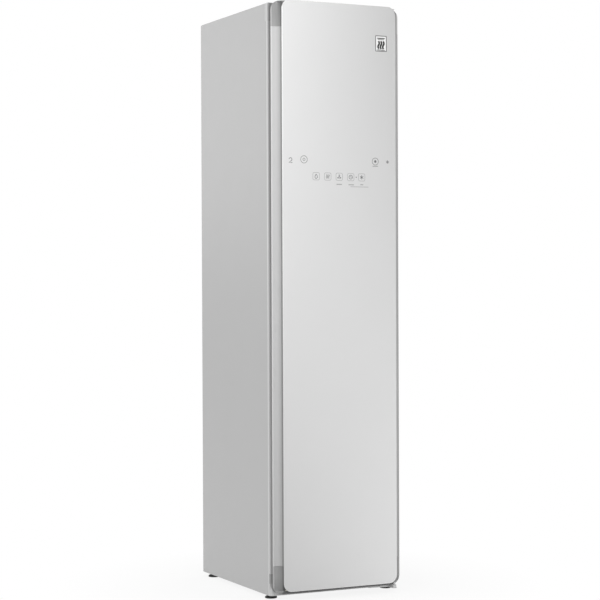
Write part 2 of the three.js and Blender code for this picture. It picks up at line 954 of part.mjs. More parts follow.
// The press flap turns on a pin between two knuckles of the inner panel
function pressFlap() {
  const barrelZ0 = pressBottomZ + pressKnuckleHeight + fit;
  const barrelZ1 = pressTopZ - pressKnuckleHeight - fit;
  const board = prismY(
    rounded(-pressX, pressX, pressBottomZ, pressTopZ, pressRadius),
    pressBackY,
    pressBackY + pressThickness,
  );
  const ribs = ranked(pressRibCount, pressHeight / (pressRibCount + 1)).map((z) => {
    const middle = (pressBottomZ + pressTopZ) / 2 + z;
    return prismY(
      slot(-pressKnuckle, middle, pressWidth - 4 * pressRadius, pressRadius),
      pressBackY + pressThickness - pressRibDepth,
      pressBackY + pressThickness + overrun,
    );
  });
  const barrel = prismZ(
    [
      [pressX - pressRadius, pressPivot[1] - pressKnuckle],
      ...arc(...pressPivot, pressKnuckle, -90, 90, 6),
      [pressX - pressRadius, pressPivot[1] + pressKnuckle],
    ],
    barrelZ0,
    barrelZ1,
  );
  const bore = moved(rod(pressPinRadius + running / 2, pressBottomZ, pressTopZ, 12), ...pressPivot, 0);
  const stemHole = prismY(
    circle(pressButtonX, pressButtonZ, pressStem + running / 2, 12),
    pressBackY - overrun,
    pressBackY + pressThickness + overrun,
  );
  return carved(board.add(barrel), [...ribs, bore, stemHole]);
}

function pressButton() {
  const faceY = pressBackY + pressThickness + pressTravel;
  const knob = prismY(circle(0, 0, pressKnob, 24), faceY, faceY + pressKnobThickness);
  const stem = prismY(circle(0, 0, pressStem, 12), pressBackY + fit, faceY + pressKnobThickness / 2);
  return moved(knob.add(stem), pressButtonX, 0, pressButtonZ);
}

// The magnetic seal is a ring with a wide foot on the door and a narrower lip towards the case
function doorSeal() {
  const ring = (margin, width, y0, y1) => {
    const x = sideX - sealInset - margin;
    const z0 = sealBottomZ + margin;
    const z1 = sealTopZ - margin;
    const hole = rounded(width - x, x - width, z0 + width, z1 - width, sealRadius - width - margin, 2);
    return prismY(rounded(-x, x, z0, z1, sealRadius - margin, 2), y0, y1, [hole]);
  };
  const lipMargin = (sealWidth - sealLip) / 2;
  const footY = innerBackY + fit;
  return joined([
    ring(0, sealWidth, footY, footY + sealFoot),
    ring(lipMargin, sealLip, footY + sealFoot / 2, caseFrontY - sealFoot),
    ring(sealFoot, sealWidth - 2 * sealFoot, caseFrontY - sealFoot - fit, caseFrontY - fit),
  ]);
}

function hingePlateOutline(baseY0, baseY1, baseX0, baseX1) {
  return [
    ...arc(...hinge, hingeArm, 180, 360, 8),
    [hinge[0] + hingeArm, caseFrontY],
    [baseX1, baseY0],
    [baseX1, baseY1],
    [baseX0, baseY1],
    [baseX0, baseY0],
    [hinge[0] - hingeArm, caseFrontY],
  ];
}

// The upper arm is bevelled along the rounded corner of the door
function upperHinge() {
  const z = caseTopZ + fit;
  const plate = prismZ(
    hingePlateOutline(
      caseFrontY + hingeSetback,
      caseFrontY + hingeSetback + hingeBaseDepth,
      hinge[0] + hingeArm - hingeBase,
      hinge[0] + hingeArm,
    ),
    z,
    z + hingePlate,
  );
  const bevelX = sideX - hingeSkin;
  const bevel = prismY(
    rounded(-bevelX, bevelX, doorBottomZ, unitHeight - hingeSkin, doorRadius - hingeSkin, 8),
    glassY,
    caseFrontY,
  );
  const ahead = block(hinge[0], sideX, glassY, caseFrontY, caseTopZ, unitHeight).subtract(bevel);
  const pin = moved(rod(hingePin, z - hingePinLength, z + hingePlate / 2), ...hinge, 0);
  return plate.subtract(ahead).add(pin);
}

function lowerHinge() {
  const z = caseBaseZ - fit - hingePlate;
  const baseX1 = footX - footNeck - running;
  const plate = prismZ(
    hingePlateOutline(
      caseFrontY + kickTrimDepth / 2,
      caseFrontY + kickTrimDepth + hingeBaseDepth,
      baseX1 - hingeBase,
      baseX1,
    ),
    z,
    z + hingePlate,
  );
  const collar = moved(rod(hingeArm - hingeClear, z, doorBottomZ - fit), ...hinge, 0);
  const pin = moved(rod(hingePin, z, doorBottomZ + hingePinLength), ...hinge, 0);
  return joined([plate, collar, pin]);
}

part('door_glass', doorGlass(), 0xe2e2e2, 0.06, 0.1);
part('grip_rail_left', gripRail(-1), 0xc6c6c6, 0.32, 0.6);
part('grip_rail_right', gripRail(1), 0xc6c6c6, 0.32, 0.6);
part('door_cap_top', topCap(), trimSilver, 0.38, 0.6);
part('door_cap_bottom', bottomCap(), trimSilver, 0.38, 0.6);
part('door_core', doorCore(), foamWhite, 0.95);
part('door_inner_panel', innerPanel(), linerWhite, 0.5);
part('door_seal', doorSeal(), 0x6e6e6e, 0.8);
part('touch_board', touchBoard(), 0x2f5a3a, 0.6);
part('press_flap', pressFlap(), linerWhite, 0.5);
part('press_release_button', pressButton(), trimSilver, 0.4, 0.3);
part('hinge_upper', upperHinge(), steelGrey, 0.35, 0.9);
part('hinge_lower', lowerHinge(), steelGrey, 0.35, 0.9);

// Garment chamber
const linerRearY = chamberRearY + linerWall;
const ceilingTopZ = chamberCeilingZ + linerWall;
const floorBottomZ = chamberFloorZ - linerWall;
const chamberFrontY = caseFrontY + linerFrontGap;

function sideLiner(side) {
  const flute = (mid) => [
    [chamberHalf, mid - fluteWidth / 2],
    [chamberHalf + fluteDepth, mid - fluteWidth / 2 + fluteDepth],
    [chamberHalf + fluteDepth, mid + fluteWidth / 2 - fluteDepth],
    [chamberHalf, mid + fluteWidth / 2],
  ];
  const section = folded(
    [
      [chamberHalf + linerFlange, linerFrontY],
      [chamberHalf, linerFrontY],
      ...ranked(fluteCount, flutePitch).flatMap((y) => flute(y)),
      [chamberHalf, chamberRearY - fit],
    ],
    -linerWall,
  );
  const ledge = [
    [chamberHalf + linerWall / 2, ledgeZ],
    [chamberHalf - ledgeDepth, ledgeZ],
    [chamberHalf - ledgeDepth, ledgeZ - ledgeHeight / 2],
    [chamberHalf + linerWall / 2, ledgeZ - ledgeHeight - ledgeDepth],
  ];
  const own = (points) => (side > 0 ? points : mirrored(points));
  const wall = prismZ(own(section), chamberFloorZ + fit, chamberCeilingZ - fit);
  return wall.add(prismY(own(ledge), -ledgeRun / 2, ledgeRun / 2));
}

function rearLiner() {
  const x = chamberHalf + linerFlange;
  const wall = block(-x, x, chamberRearY, linerRearY, chamberFloorZ + fit, chamberCeilingZ - fit);
  const panelX = (airSlotCount * airSlotPitch) / 2 + airSlotPitch;
  const grilleTopZ = airSlotZ + airSlotHeight + airSlotPitch;
  const duct = prismY(
    rounded(-panelX, panelX, airSlotZ - airSlotPitch, grilleTopZ, airSlotPitch),
    chamberRearY - ductProud,
    chamberRearY + linerWall / 2,
  );
  const slots = ranked(airSlotCount, airSlotPitch).map((mid) =>
    prismY(
      rounded(
        mid - airSlotWidth / 2,
        mid + airSlotWidth / 2,
        airSlotZ,
        airSlotZ + airSlotHeight,
        airSlotWidth / 2,
        2,
      ),
      chamberRearY - ductProud - overrun,
      linerRearY + overrun,
    ));
  const nozzleHole = prismY(
    circle(0, nozzleZ, nozzleRadius + running, 16),
    chamberRearY - overrun,
    linerRearY + overrun,
  );
  return carved(wall.add(duct), [...slots, nozzleHole]);
}

function steamNozzle() {
  const flangeY = chamberRearY - fit;
  const flange = prismY(circle(0, nozzleZ, nozzleRadius * 2, 24), flangeY - nozzleFlange, flangeY);
  const neck = prismY(circle(0, nozzleZ, nozzleRadius, 16), flangeY - nozzleFlange, linerRearY + nozzleNeck);
  const bore = prismY(
    circle(0, nozzleZ, steamTube / 2, 8),
    flangeY - overrun * 2,
    linerRearY + nozzleNeck + overrun,
  );
  return carved(flange.add(neck), [bore]);
}

function ceilingLiner() {
  const x = chamberHalf + linerFlange;
  const plate = block(-x, x, chamberFrontY, linerRearY, chamberCeilingZ, ceilingTopZ);
  const stemRoom = stemSize + 2 * (hangerTravel + running);
  const stemSlots = [-1, 1].map((side) =>
    prismZ(
      slot(side * stemX, 0, stemRoom + 2 * stemSize / 2, stemSize + 2 * stemSlack),
      chamberCeilingZ - overrun,
      ceilingTopZ + overrun,
    ));
  const lampX = lampWidth / 2 - lampLip;
  const lampHole = block(
    -lampX,
    lampX,
    lampY - lampDepth / 2 + lampLip,
    lampY + lampDepth / 2 - lampLip,
    chamberCeilingZ - overrun,
    ceilingTopZ + overrun,
  );
  const upstand = block(-x, x, chamberFrontY, chamberFrontY + linerWall, chamberCeilingZ, topTrimZ - fit);
  return carved(plate.add(upstand), [...stemSlots, lampHole]);
}

function lampLens() {
  const x = lampWidth / 2;
  const y = lampDepth / 2;
  const lens = prismZ(
    rounded(-x, x, lampY - y, lampY + y, lampLip * 2),
    chamberCeilingZ - lampThickness,
    chamberCeilingZ - fit,
  );
  const spigot = block(
    lampLip + running - x,
    x - lampLip - running,
    lampY - y + lampLip + running,
    lampY + y - lampLip - running,
    chamberCeilingZ - lampThickness / 2,
    ceilingTopZ,
  );
  return lens.add(spigot);
}

const pocketRearY = pocketFrontY + filterDepth + 2 * running;

// Where the lint filter and the aroma case drop into the floor
const pockets = [
  [filterCrossX, filterWidth],
  [aromaCrossX, aromaWidth],
].map(([mid, width]) => [mid - width / 2 - running, mid + width / 2 + running]);

function floorLiner() {
  const x = chamberHalf + linerFlange;
  const plate = block(-x, x, chamberFrontY, linerRearY, floorBottomZ, chamberFloorZ);
  const wells = pockets.map(([x0, x1]) => block(
    x0 - linerWall,
    x1 + linerWall,
    pocketFrontY - linerWall,
    pocketRearY + linerWall,
    chamberFloorZ - filterHeight - linerWall,
    floorBottomZ + linerWall / 2,
  ));
  const holes = pockets.map(([x0, x1]) => block(
    x0,
    x1,
    pocketFrontY,
    pocketRearY,
    chamberFloorZ - filterHeight,
    chamberFloorZ + overrun,
  ));
  const drains = ranked(floorSlotCount, floorSlotPitch).map((y) =>
    prismZ(
      slot(0, y + floorSlotY, floorSlotLength, airSlotWidth, 2),
      floorBottomZ - overrun,
      chamberFloorZ + overrun,
    ));
  const vents = pockets.map(([x0, x1]) => block(
    x0 + filterWall * 2,
    x1 - filterWall * 2,
    pocketFrontY + overrun,
    pocketRearY + linerWall + overrun,
    chamberFloorZ - filterHeight + filterWall * 3,
    floorBottomZ - filterWall * 3,
  ));
  const apron = block(
    -x,
    x,
    chamberFrontY,
    chamberFrontY + linerWall,
    bayTopZ + bayWall + fit,
    chamberFloorZ,
  );
  return carved(joined([plate, apron, ...wells]), [...holes, ...drains, ...vents]);
}

// A frame with a window, which drops into its well and is lifted out by the grip on its rim
function insert(width, windowSteps) {
  const x = width / 2;
  const bottomZ = chamberFloorZ - filterHeight + running;
  const y0 = pocketFrontY + running;
  const y1 = pocketRearY - running;
  const frame = block(-x, x, y0, y1, bottomZ, chamberFloorZ);
  const rim = prismZ(
    rounded(-x - insertRim, x + insertRim, y0 - insertRim, y1 + insertRim, insertRim),
    chamberFloorZ + fit,
    chamberFloorZ + insertRim / 2,
  );
  const grip = prismX(
    rounded(
      (y0 + y1 - gripDepth) / 2,
      (y0 + y1 + gripDepth) / 2,
      chamberFloorZ,
      chamberFloorZ + gripHeight,
      gripDepth * gripRoundShare,
    ),
    -gripWidth / 2,
    gripWidth / 2,
  );
  const pitch = (width - 2 * filterWall) / windowSteps;
  const windows = ranked(windowSteps, pitch).map((mid) => block(
    mid - pitch / 2 + filterWall / 2,
    mid + pitch / 2 - filterWall / 2,
    y0 - overrun,
    y1 + overrun,
    bottomZ + filterWall * 2,
    floorBottomZ - filterWall,
  ));
  return carved(joined([frame, rim, grip]), windows);
}

// A loose shelf of bars in a frame, which lies on the ledges of the side liners
function garmentShelf() {
  const x = chamberHalf - shelfClear;
  const y = ledgeRun / 2 - shelfClear;
  const z0 = ledgeZ + fit;
  const frame = prismZ(rounded(-x, x, -y, y, shelfFrame), z0, z0 + shelfThickness);
  const pitch = (2 * (x - shelfFrame)) / shelfBarCount;
  const gaps = ranked(shelfBarCount, pitch).map((mid) =>
    block(
      mid - pitch / 2 + shelfBar / 2,
      mid + pitch / 2 - shelfBar / 2,
      shelfFrame - y,
      y - shelfFrame,
      z0 - overrun,
      z0 + shelfThickness + overrun,
    ));
  return carved(frame, gaps);
}

// Tank bay and its two tanks
const bayFrontY = caseFrontY + bayFrontGap;
const tankFrontY = caseFrontY + tankSetback;
const tankRearY = tankFrontY + tankDepth;
const bayRearY = tankRearY + running;
const bayTopZ = bayFloorZ + tankHeight + bayHead;
const tankCrossX = (tankWidth + bayWall) / 2 + running;
const bayX = tankCrossX + tankWidth / 2 + running;

function tankBay() {
  const outer = block(
    -bayX - bayWall,
    bayX + bayWall,
    bayFrontY,
    bayRearY + bayWall,
    bayFloorZ - bayWall,
    bayTopZ + bayWall,
  );
  const rooms = [-1, 1].map((side) => block(
    side * tankCrossX - tankWidth / 2 - running,
    side * tankCrossX + tankWidth / 2 + running,
    bayFrontY - overrun,
    bayRearY,
    bayFloorZ,
    bayTopZ,
  ));
  const ears = [-1, 1].map((side) => {
    const near = side * (bayX + bayWall / 2);
    const far = side * (chamberHalf + linerFlange);
    return block(
      Math.min(near, far),
      Math.max(near, far),
      bayFrontY,
      bayFrontY + bayWall,
      bayFloorZ,
      bayTopZ,
    );
  });
  const legs = [-1, 1].map((side) => {
    const mid = side * (bayX - bayLeg);
    const topZ = bayFloorZ - bayWall / 2;
    return block(mid - bayLeg, mid + bayLeg, bayRearY - bayLeg, bayRearY, trayFloorZ + fit, topZ);
  });
  return joined([carved(outer, rooms), ...ears, ...legs]);
}

function tank() {
  const x = tankWidth / 2;
  const bodyTopZ = bayFloorZ + fit + tankHeight - tankLid;
  const body = (inset, z0, z1) => prismZ(
    rounded(inset - x, x - inset, tankFrontY + inset, tankRearY - inset, tankRadius - inset),
    z0,
    z1,
  );
  const shell = body(0, bayFloorZ + fit, bodyTopZ).subtract(
    body(tankWall, bayFloorZ + fit + tankWall, bodyTopZ + overrun),
  );
  const gripZ = bodyTopZ - tankGripHeight * 2;
  const scoop = prismY(
    rounded(
      -tankGripWidth / 2,
      tankGripWidth / 2,
      gripZ,
      gripZ + tankGripHeight,
      tankGripHeight * gripRoundShare,
    ),
    tankFrontY - overrun,
    tankFrontY + tankGripDepth,
  );
  const scoopShell = prismY(
    rounded(
      -tankGripWidth / 2 - tankWall,
      tankGripWidth / 2 + tankWall,
      gripZ - tankWall,
      gripZ + tankGripHeight + tankWall,
      tankGripHeight * gripRoundShare,
    ),
    tankFrontY + tankWall / 2,
    tankFrontY + tankGripDepth + tankWall,
  );
  return shell.add(scoopShell).subtract(scoop);
}

function tankLidBody(side) {
  const x = tankWidth / 2;
  const lidZ = bayFloorZ + 2 * fit + tankHeight - tankLid;
  const topZ = bayFloorZ + tankHeight - tankCapHeight;
  const plate = prismZ(rounded(-x, x, tankFrontY, tankRearY, tankRadius), lidZ, topZ);
  const skirtInset = tankWall + fit;
  const skirt = prismZ(
    rounded(
      skirtInset - x,
      x - skirtInset,
      tankFrontY + skirtInset,
      tankRearY - skirtInset,
      tankRadius - skirtInset,
    ),
    lidZ - lidSkirt,
    lidZ + fit,
    [
      rounded(
        skirtInset + tankWall - x,
        x - skirtInset - tankWall,
        tankFrontY + skirtInset + tankWall,
        tankRearY - skirtInset - tankWall,
        tankRadius - skirtInset - tankWall,
      ),
    ],
  );
  const cap = moved(
    turned([
      [0, 0],
      [tankCapRadius, 0],
      [tankCapRadius, tankCapHeight / 2],
      [tankCapRadius - lidSkirt / 4, tankCapHeight],
      [0, tankCapHeight],
    ]),
    (side * tankWidth) / 4,
    (tankFrontY + tankRearY) / 2,
    topZ - fit,
  );
  return joined([plate, skirt, cap]);
}

// Moving hanger: a belt turns a crank whose pin works in a slot across the carriage
const carriageZ = ceilingTopZ + driveFloorGap;
const carriageTopZ = carriageZ + carriageThickness;
const discZ = carriageTopZ + running;
const discTopZ = discZ + crankDiscThickness;
const plateZ = discTopZ + running;
const plateTopZ = plateZ + plateThickness;
const pulleyZ = plateTopZ + running;
const pulleyTopZ = pulleyZ + pulleyWidth;
const driveX = chamberHalf + linerFlange;
const barTopZ = chamberCeilingZ - barDrop;
const barLength = 2 * (chamberHalf - barInset);
const carriageWidth = 2 * (chamberHalf - carriageInset);
const stemX = chamberHalf - stemInset;
const motorX = motorInset - driveX;

function drivePlate() {
  const wallY = carriageDepth / 2 + running;
  const lipZ = carriageZ - fit - plateThickness;
  const section = folded(
    [
      [wallY - plateLip, lipZ],
      [wallY + plateThickness, lipZ],
      [wallY + plateThickness, plateTopZ],
      [-wallY - plateThickness, plateTopZ],
      [-wallY - plateThickness, lipZ],
      [plateLip - wallY, lipZ],
    ],
    plateThickness,
  );
  const runway = carriageWidth / 2 + hangerTravel;
  const channel = prismX(section, -runway, runway);
  const wings = block(-driveX, driveX, -wallY, wallY, plateZ, plateTopZ);
  const feet = [-1, 1].map((side) => {
    const outer = side * driveX;
    const inner = side * (driveX - plateThickness);
    return block(Math.min(outer, inner), Math.max(outer, inner), -wallY, wallY, ceilingTopZ + fit, plateTopZ);
  });
  const bush = tube(crankShaft, crankShaft + plateThickness, plateZ, pulleyZ - fit);
  const bore = rod(crankShaft + fit, discZ, pulleyTopZ);
  return carved(joined([channel, wings, ...feet, bush]), [bore]);
}

function hangerCarriage() {
  const x = carriageWidth / 2;
  const y = carriageDepth / 2;
  const plate = prismZ(rounded(-x, x, -y, y, stemSize), carriageZ, carriageTopZ);
  const slotLength = 2 * (hangerTravel + crankPin + crankSlotClear);
  const slotWidth = 2 * (crankPin + crankSlotClear);
  const crankSlot = prismZ(
    slot(0, 0, slotLength, slotWidth).map(([u, v]) => [v, u]).reverse(),
    carriageZ - overrun,
    carriageTopZ + overrun,
  );
  const windows = [-1, 1].map((side) => prismZ(
    rounded(
      side * stemX * carriageWindowShare - stemSize,
      side * stemX * carriageWindowShare + stemSize,
      stemSize * 2 - y,
      y - stemSize * 2,
      stemSize / 2,
      2,
    ),
    carriageZ - overrun,
    carriageTopZ + overrun,
  ));
  const stems = [-1, 1].map((side) => prismZ(
    rounded(
      side * stemX - stemSize / 2,
      side * stemX + stemSize / 2,
      -stemSize / 2,
      stemSize / 2,
      stemSize / 5,
      2,
    ),
    barTopZ - barSocket + fit,
    carriageTopZ - carriageThickness / 2,
  ));
  return carved(joined([plate, ...stems]), [crankSlot, ...windows]);
}

// The bar is a rounded beam with a row of notches that keep the hangers apart
function hangerBar() {
  const y = barDepth / 2;
  const beam = prismX(
    [
      ...arc(y - barEdge, barTopZ - barEdge, barEdge, 0, 90, 2),
      ...arc(barEdge - y, barTopZ - barEdge, barEdge, 90, 180, 2),
      ...arc(barHeight / 2 - y, barTopZ - barHeight / 2, barHeight / 2, 180, 270, 3),
      ...arc(y - barHeight / 2, barTopZ - barHeight / 2, barHeight / 2, 270, 360, 3),
    ],
    -barLength / 2,
    barLength / 2,
  );
  const pitch = (2 * (stemX - stemSize)) / barNotchCount;
  const notches = ranked(barNotchCount, pitch).map((x) =>
    prismY(circle(x, barTopZ, barNotch, 8), -barDepth, barDepth));
  const socket = stemSize / 2 + fit;
  const sockets = [-1, 1].map((side) => block(
    side * stemX - socket,
    side * stemX + socket,
    -socket,
    socket,
    barTopZ - barSocket,
    barTopZ + overrun,
  ));
  return carved(beam, [...notches, ...sockets]);
}

function crankArm() {
  const disc = rod(crankDisc, discZ, discTopZ, 32);
  const shaft = rod(crankShaft, discZ, pulleyTopZ + fit);
  const pin = moved(rod(crankPin, carriageZ, discTopZ - crankDiscThickness / 2), 0, -hangerTravel, 0);
  const relief = moved(
    rod(crankPin + crankShaft / 2, discZ - overrun, discTopZ + overrun),
    0,
    crankDisc * discReliefShare,
    0,
  );
  return carved(joined([disc, shaft, pin]), [relief]);
}

// A flanged belt pulley, turned from its groove, flanges, web and hub
function pulley(radius, bore, segments) {
  const rim = radius + beltThickness;
  const side = (pulleyWidth - beltWidth) / 2 - running / 2;
  return tube(bore, rim, pulleyZ, pulleyTopZ, segments).subtract(
    tube(radius, rim + overrun, pulleyZ + side, pulleyTopZ - side, segments),
  );
}

function crankPulley() {
  const body = pulley(beltPulleyLarge, crankShaft + fit, 24);
  const holes = Array.from({ length: pulleyHoles }, (_, i) => {
    const angle = (2 * Math.PI * i) / pulleyHoles;
    const reach = (beltPulleyLarge + pulleyHub) / 2;
    return moved(
      rod(reach * pulleyHoleShare, pulleyZ - overrun, pulleyTopZ + overrun, 8),
      reach * Math.cos(angle),
      reach * Math.sin(angle),
      0,
    );
  });
  return carved(body, holes);
}

function motorPulley() {
  const body = pulley(beltPulleySmall, crankPin, 14);
  const shaft = rod(crankPin + fit, pulleyZ + fit, pulleyTopZ + motorLength / 2);
  return body.add(shaft);
}

function driveBelt() {
  const lean = THREE.MathUtils.radToDeg(Math.acos((beltPulleyLarge - beltPulleySmall) / Math.abs(motorX)));
  const loop = (gap) => [
    ...arc(0, 0, beltPulleyLarge + gap, lean - 180, 180 - lean, 24),
    ...arc(motorX, 0, beltPulleySmall + gap, 180 - lean, 180 + lean, 8),
  ];
  const z = (pulleyZ + pulleyTopZ - beltWidth) / 2;
  return prismZ(loop(fit + beltThickness), z, z + beltWidth, [loop(fit)]);
}

function hangerMotor() {
  const z = pulleyTopZ + motorGap;
  const flange = rod(motorFlange, z, z + plateThickness, 20);
  const can = turned([
    [0, z],
    [motorRadius, z],
    [motorRadius, z + motorLength - motorRadius / 5],
    [motorRadius * motorShoulderShare, z + motorLength],
    [0, z + motorLength],
  ]);
  const legs = motorLegAngles.map((degrees) => {
    const angle = THREE.MathUtils.degToRad(degrees);
    const reach = motorFlange - motorLeg;
    const leg = rod(motorLeg, plateTopZ + fit, z + plateThickness / 2, 8);
    return moved(leg, reach * Math.cos(angle), reach * Math.sin(angle), 0);
  });
  const bore = rod(crankPin + 2 * fit, z - overrun, pulleyTopZ + motorLength / 2 + fit);
  return joined([flange, can, ...legs]).subtract(bore);
}

// The electronics stand on the chamber's ceiling, behind the drive
function controlBox() {
  const x = controlWidth / 2;
  const y0 = linerRearY - controlDepth;
  const z0 = ceilingTopZ + fit;
  const shell = prismZ(rounded(-x, x, y0, linerRearY, stemSize), z0, z0 + controlHeight);
  const grooves = ranked(airSlotCount, airSlotWidth).map((mid) =>
    block(
      mid - airSlotWidth / 4,
      mid + airSlotWidth / 4,
      y0 + stemSize * 2,
      linerRearY - stemSize * 2,
      z0 + controlHeight - trimWall,
      z0 + controlHeight + overrun,
    ));
  return carved(shell, grooves);
}

// Machine compartment
const trayFloorZ = caseBaseZ + trayWall;
const boilerX = boilerInset - sideX;
const compressorX = sideX - compressorInset;
const compressorY = rearPanelY - compressorSetback;
const evaporatorY = bayRearY + evaporatorSetback;
const coilTrayRearY = evaporatorY + coilDepth * 1.5 + coilGap;
const boilerY = coilTrayRearY + boilerSetback;
const pumpY = bayRearY + pumpSetback;

function insetLoop(points, distance) {
  const loop = [points.at(-1), ...points, points[0]];
  return beside(loop, distance).slice(1, -1);
}

function compressor() {
  const z0 = trayFloorZ + compressorFoot;
  const r = compressorRadius;
  const dome = r * domeShare;
  const can = turned([
    [0, z0],
    [r * domeFootShare, z0],
    [r, z0 + dome],
    [r, z0 + compressorHeight - dome],
    [r * domeShoulderShare, z0 + compressorHeight - dome / 2],
    [r * domeCrownShare, z0 + compressorHeight],
    [0, z0 + compressorHeight],
  ], 16);
  const base = prismZ(
    rounded(-r, r, -r, r, dome),
    z0 - plateThickness,
    z0 + plateThickness,
  );
  const reach = r * compressorFootShare;
  const feet = [-1, 1].flatMap((sx) => [-1, 1].map((sy) =>
    moved(rod(compressorFoot, trayFloorZ + fit, z0, 8), sx * reach, sy * reach, 0)));
  return moved(joined([can, base, ...feet]), compressorX, compressorY, 0);
}

// A finned coil: a rank of plates on a few cross tubes
function finnedCoil(y) {
  const x = coilWidth / 2;
  const count = Math.floor(coilWidth / finPitch);
  const fins = ranked(count, finPitch).map((mid) => block(
    mid - finThickness / 2,
    mid + finThickness / 2,
    y - coilDepth / 2,
    y + coilDepth / 2,
    coilZ,
    coilZ + coilHeight,
  ));
  const tubes = ranked(coilTubeRows, coilHeight / coilTubeRows).map((z) =>
    prismX(circle(y, coilZ + coilHeight / 2 + z, coilTube, 6), -x, x));
  return joined([...fins, ...tubes]);
}

// The tray that carries both coils stands on four legs
function coilTray() {
  const x = coilWidth / 2 + coilGap / 2;
  const y0 = evaporatorY - coilDepth / 2 - fit;
  const section = folded(
    [
      [-x, coilZ + coilHeight / 2],
      [-x, coilZ - fit - trayWall],
      [x, coilZ - fit - trayWall],
      [x, coilZ + coilHeight / 2],
    ],
    trayWall,
  );
  const legs = [-1, 1].flatMap((side) => [y0, coilTrayRearY - trayLip].map((y) => {
    const near = side * x;
    const far = side * (x - trayWall);
    return block(
      Math.min(near, far),
      Math.max(near, far),
      y,
      y + trayLip,
      trayFloorZ + fit,
      coilZ,
    );
  }));
  return joined([prismY(section, y0, coilTrayRearY), ...legs]);
}

// The scroll opens from its tongue, then rises as a duct to the slots behind the chamber
function scrollOutline() {
  const first = fanRadius + scrollClear;
  const spiral = Array.from({ length: scrollSteps + 1 }, (_, i) => {
    const share = i / scrollSteps;
    const angle = THREE.MathUtils.degToRad(tongueAngle + (360 - tongueAngle) * share);
    const radius = first + scrollGrowth * share;
    return [radius * Math.cos(angle), fanZ + radius * Math.sin(angle)];
  });
  const ductX = ((airSlotCount + 1) * airSlotPitch) / 2;
  const ductZ = airSlotZ - airSlotPitch * 2;
  return [
    ...spiral,
    [first + scrollGrowth, ductZ - airSlotPitch],
    [ductX, ductZ],
    [ductX, airSlotZ + airSlotHeight + airSlotPitch],
    [-ductX, airSlotZ + airSlotHeight + airSlotPitch],
    [-ductX, ductZ],
    [spiral[0][0], ductZ - airSlotPitch],
  ];
}

const blowerY0 = linerRearY + fit;
const blowerY1 = blowerY0 + fanWidth + 2 * scrollWall + 2 * fanGap;

function blowerHousing() {
  const outer = scrollOutline();
  const inner = insetLoop(outer, scrollWall);
  const room = prismY(inner, blowerY0 + scrollWall, blowerY1 - scrollWall);
  const inlet = prismY(
    circle(0, fanZ, fanRadius * scrollInletShare, 24),
    blowerY0 - overrun,
    blowerY0 + scrollWall + overrun,
  );
  const mouthX = (airSlotCount * airSlotPitch) / 2;
  const mouth = block(
    -mouthX,
    mouthX,
    blowerY0 - overrun,
    blowerY0 + scrollWall + overrun,
    airSlotZ - scrollWall,
    airSlotZ + airSlotHeight + scrollWall,
  );
  const shaft = prismY(
    circle(0, fanZ, fanShaft + running, 12),
    blowerY1 - scrollWall - overrun,
    blowerY1 + overrun,
  );
  return carved(prismY(outer, blowerY0, blowerY1), [room, inlet, mouth, shaft]);
}

const fanY0 = blowerY0 + scrollWall + fanGap;
const fanY1 = fanY0 + fanWidth;

// A drum fan: forward-curved blades between a back plate and a front ring
function fanWheel() {
  const inner = fanRadius - fanBladeReach;
  const plate = prismY(circle(0, 0, fanRadius, 24), fanY1 - fanPlate, fanY1);
  const opening = circle(0, 0, inner, 24).reverse();
  const ring = prismY(circle(0, 0, fanRadius, 24), fanY0, fanY0 + fanPlate, [opening]);
  const hub = prismY(circle(0, 0, fanHub, 12), fanY1 - fanWidth / 2, fanY1);
  const bladeArc = [
    [inner + fanBlade / 4, 0],
    [inner + fanBladeReach / 2, fanBladeReach * bladeLeanShare],
    [fanRadius - fanBlade, fanBladeReach / 2],
  ];
  const blades = Array.from({ length: fanBlades }, (_, i) => {
    const angle = (2 * Math.PI * i) / fanBlades;
    const turn = ([u, v]) => [
      u * Math.cos(angle) - v * Math.sin(angle),
      u * Math.sin(angle) + v * Math.cos(angle),
    ];
    return prismY(folded(bladeArc, fanBlade).map(turn), fanY0 + fanPlate / 2, fanY1 - fanPlate / 2);
  });
  const bore = prismY(circle(0, 0, fanShaft + fit, 12), fanY0, fanY1 + overrun);
  return joined([plate, ring, hub, ...blades]).subtract(bore);
}

function fanMotor() {
  const y0 = blowerY1 + fit;
  const can = prismY(circle(0, fanZ, fanMotorRadius, 20), y0, y0 + fanMotorDepth);
  const shaft = prismY(circle(0, fanZ, fanShaft, 12), fanY0 + fanWidth / 2 + fanGap, y0 + fanMotorDepth / 2);
  return can.add(shaft);
}

function steamGenerator() {
  const z0 = trayFloorZ + boilerLegs;
  const r = boilerRadius;
  const can = turned([
    [0, z0],
    [r * boilerEndShare, z0],
    [r, z0 + r / 4],
    [r, z0 + boilerHeight / 2],
    [r + boilerSeam, z0 + boilerHeight / 2],
    [r + boilerSeam, z0 + boilerHeight / 2 + boilerSeam],
    [r, z0 + boilerHeight / 2 + boilerSeam],
    [r, z0 + boilerHeight - r / 4],
    [r * boilerEndShare, z0 + boilerHeight],
    [steamTube + steamWall, z0 + boilerHeight],
    [steamTube + steamWall, boilerTopZ],
    [0, boilerTopZ],
  ], 16);
  const legs = boilerLegAngles.map((degrees) => {
    const angle = THREE.MathUtils.degToRad(degrees);
    return moved(
      rod(boilerLeg, trayFloorZ + fit, z0 + r / 4, 8),
      r * boilerLegShare * Math.cos(angle),
      r * boilerLegShare * Math.sin(angle),
      0,
    );
  });
  return moved(joined([can, ...legs]), boilerX, boilerY, 0);
}

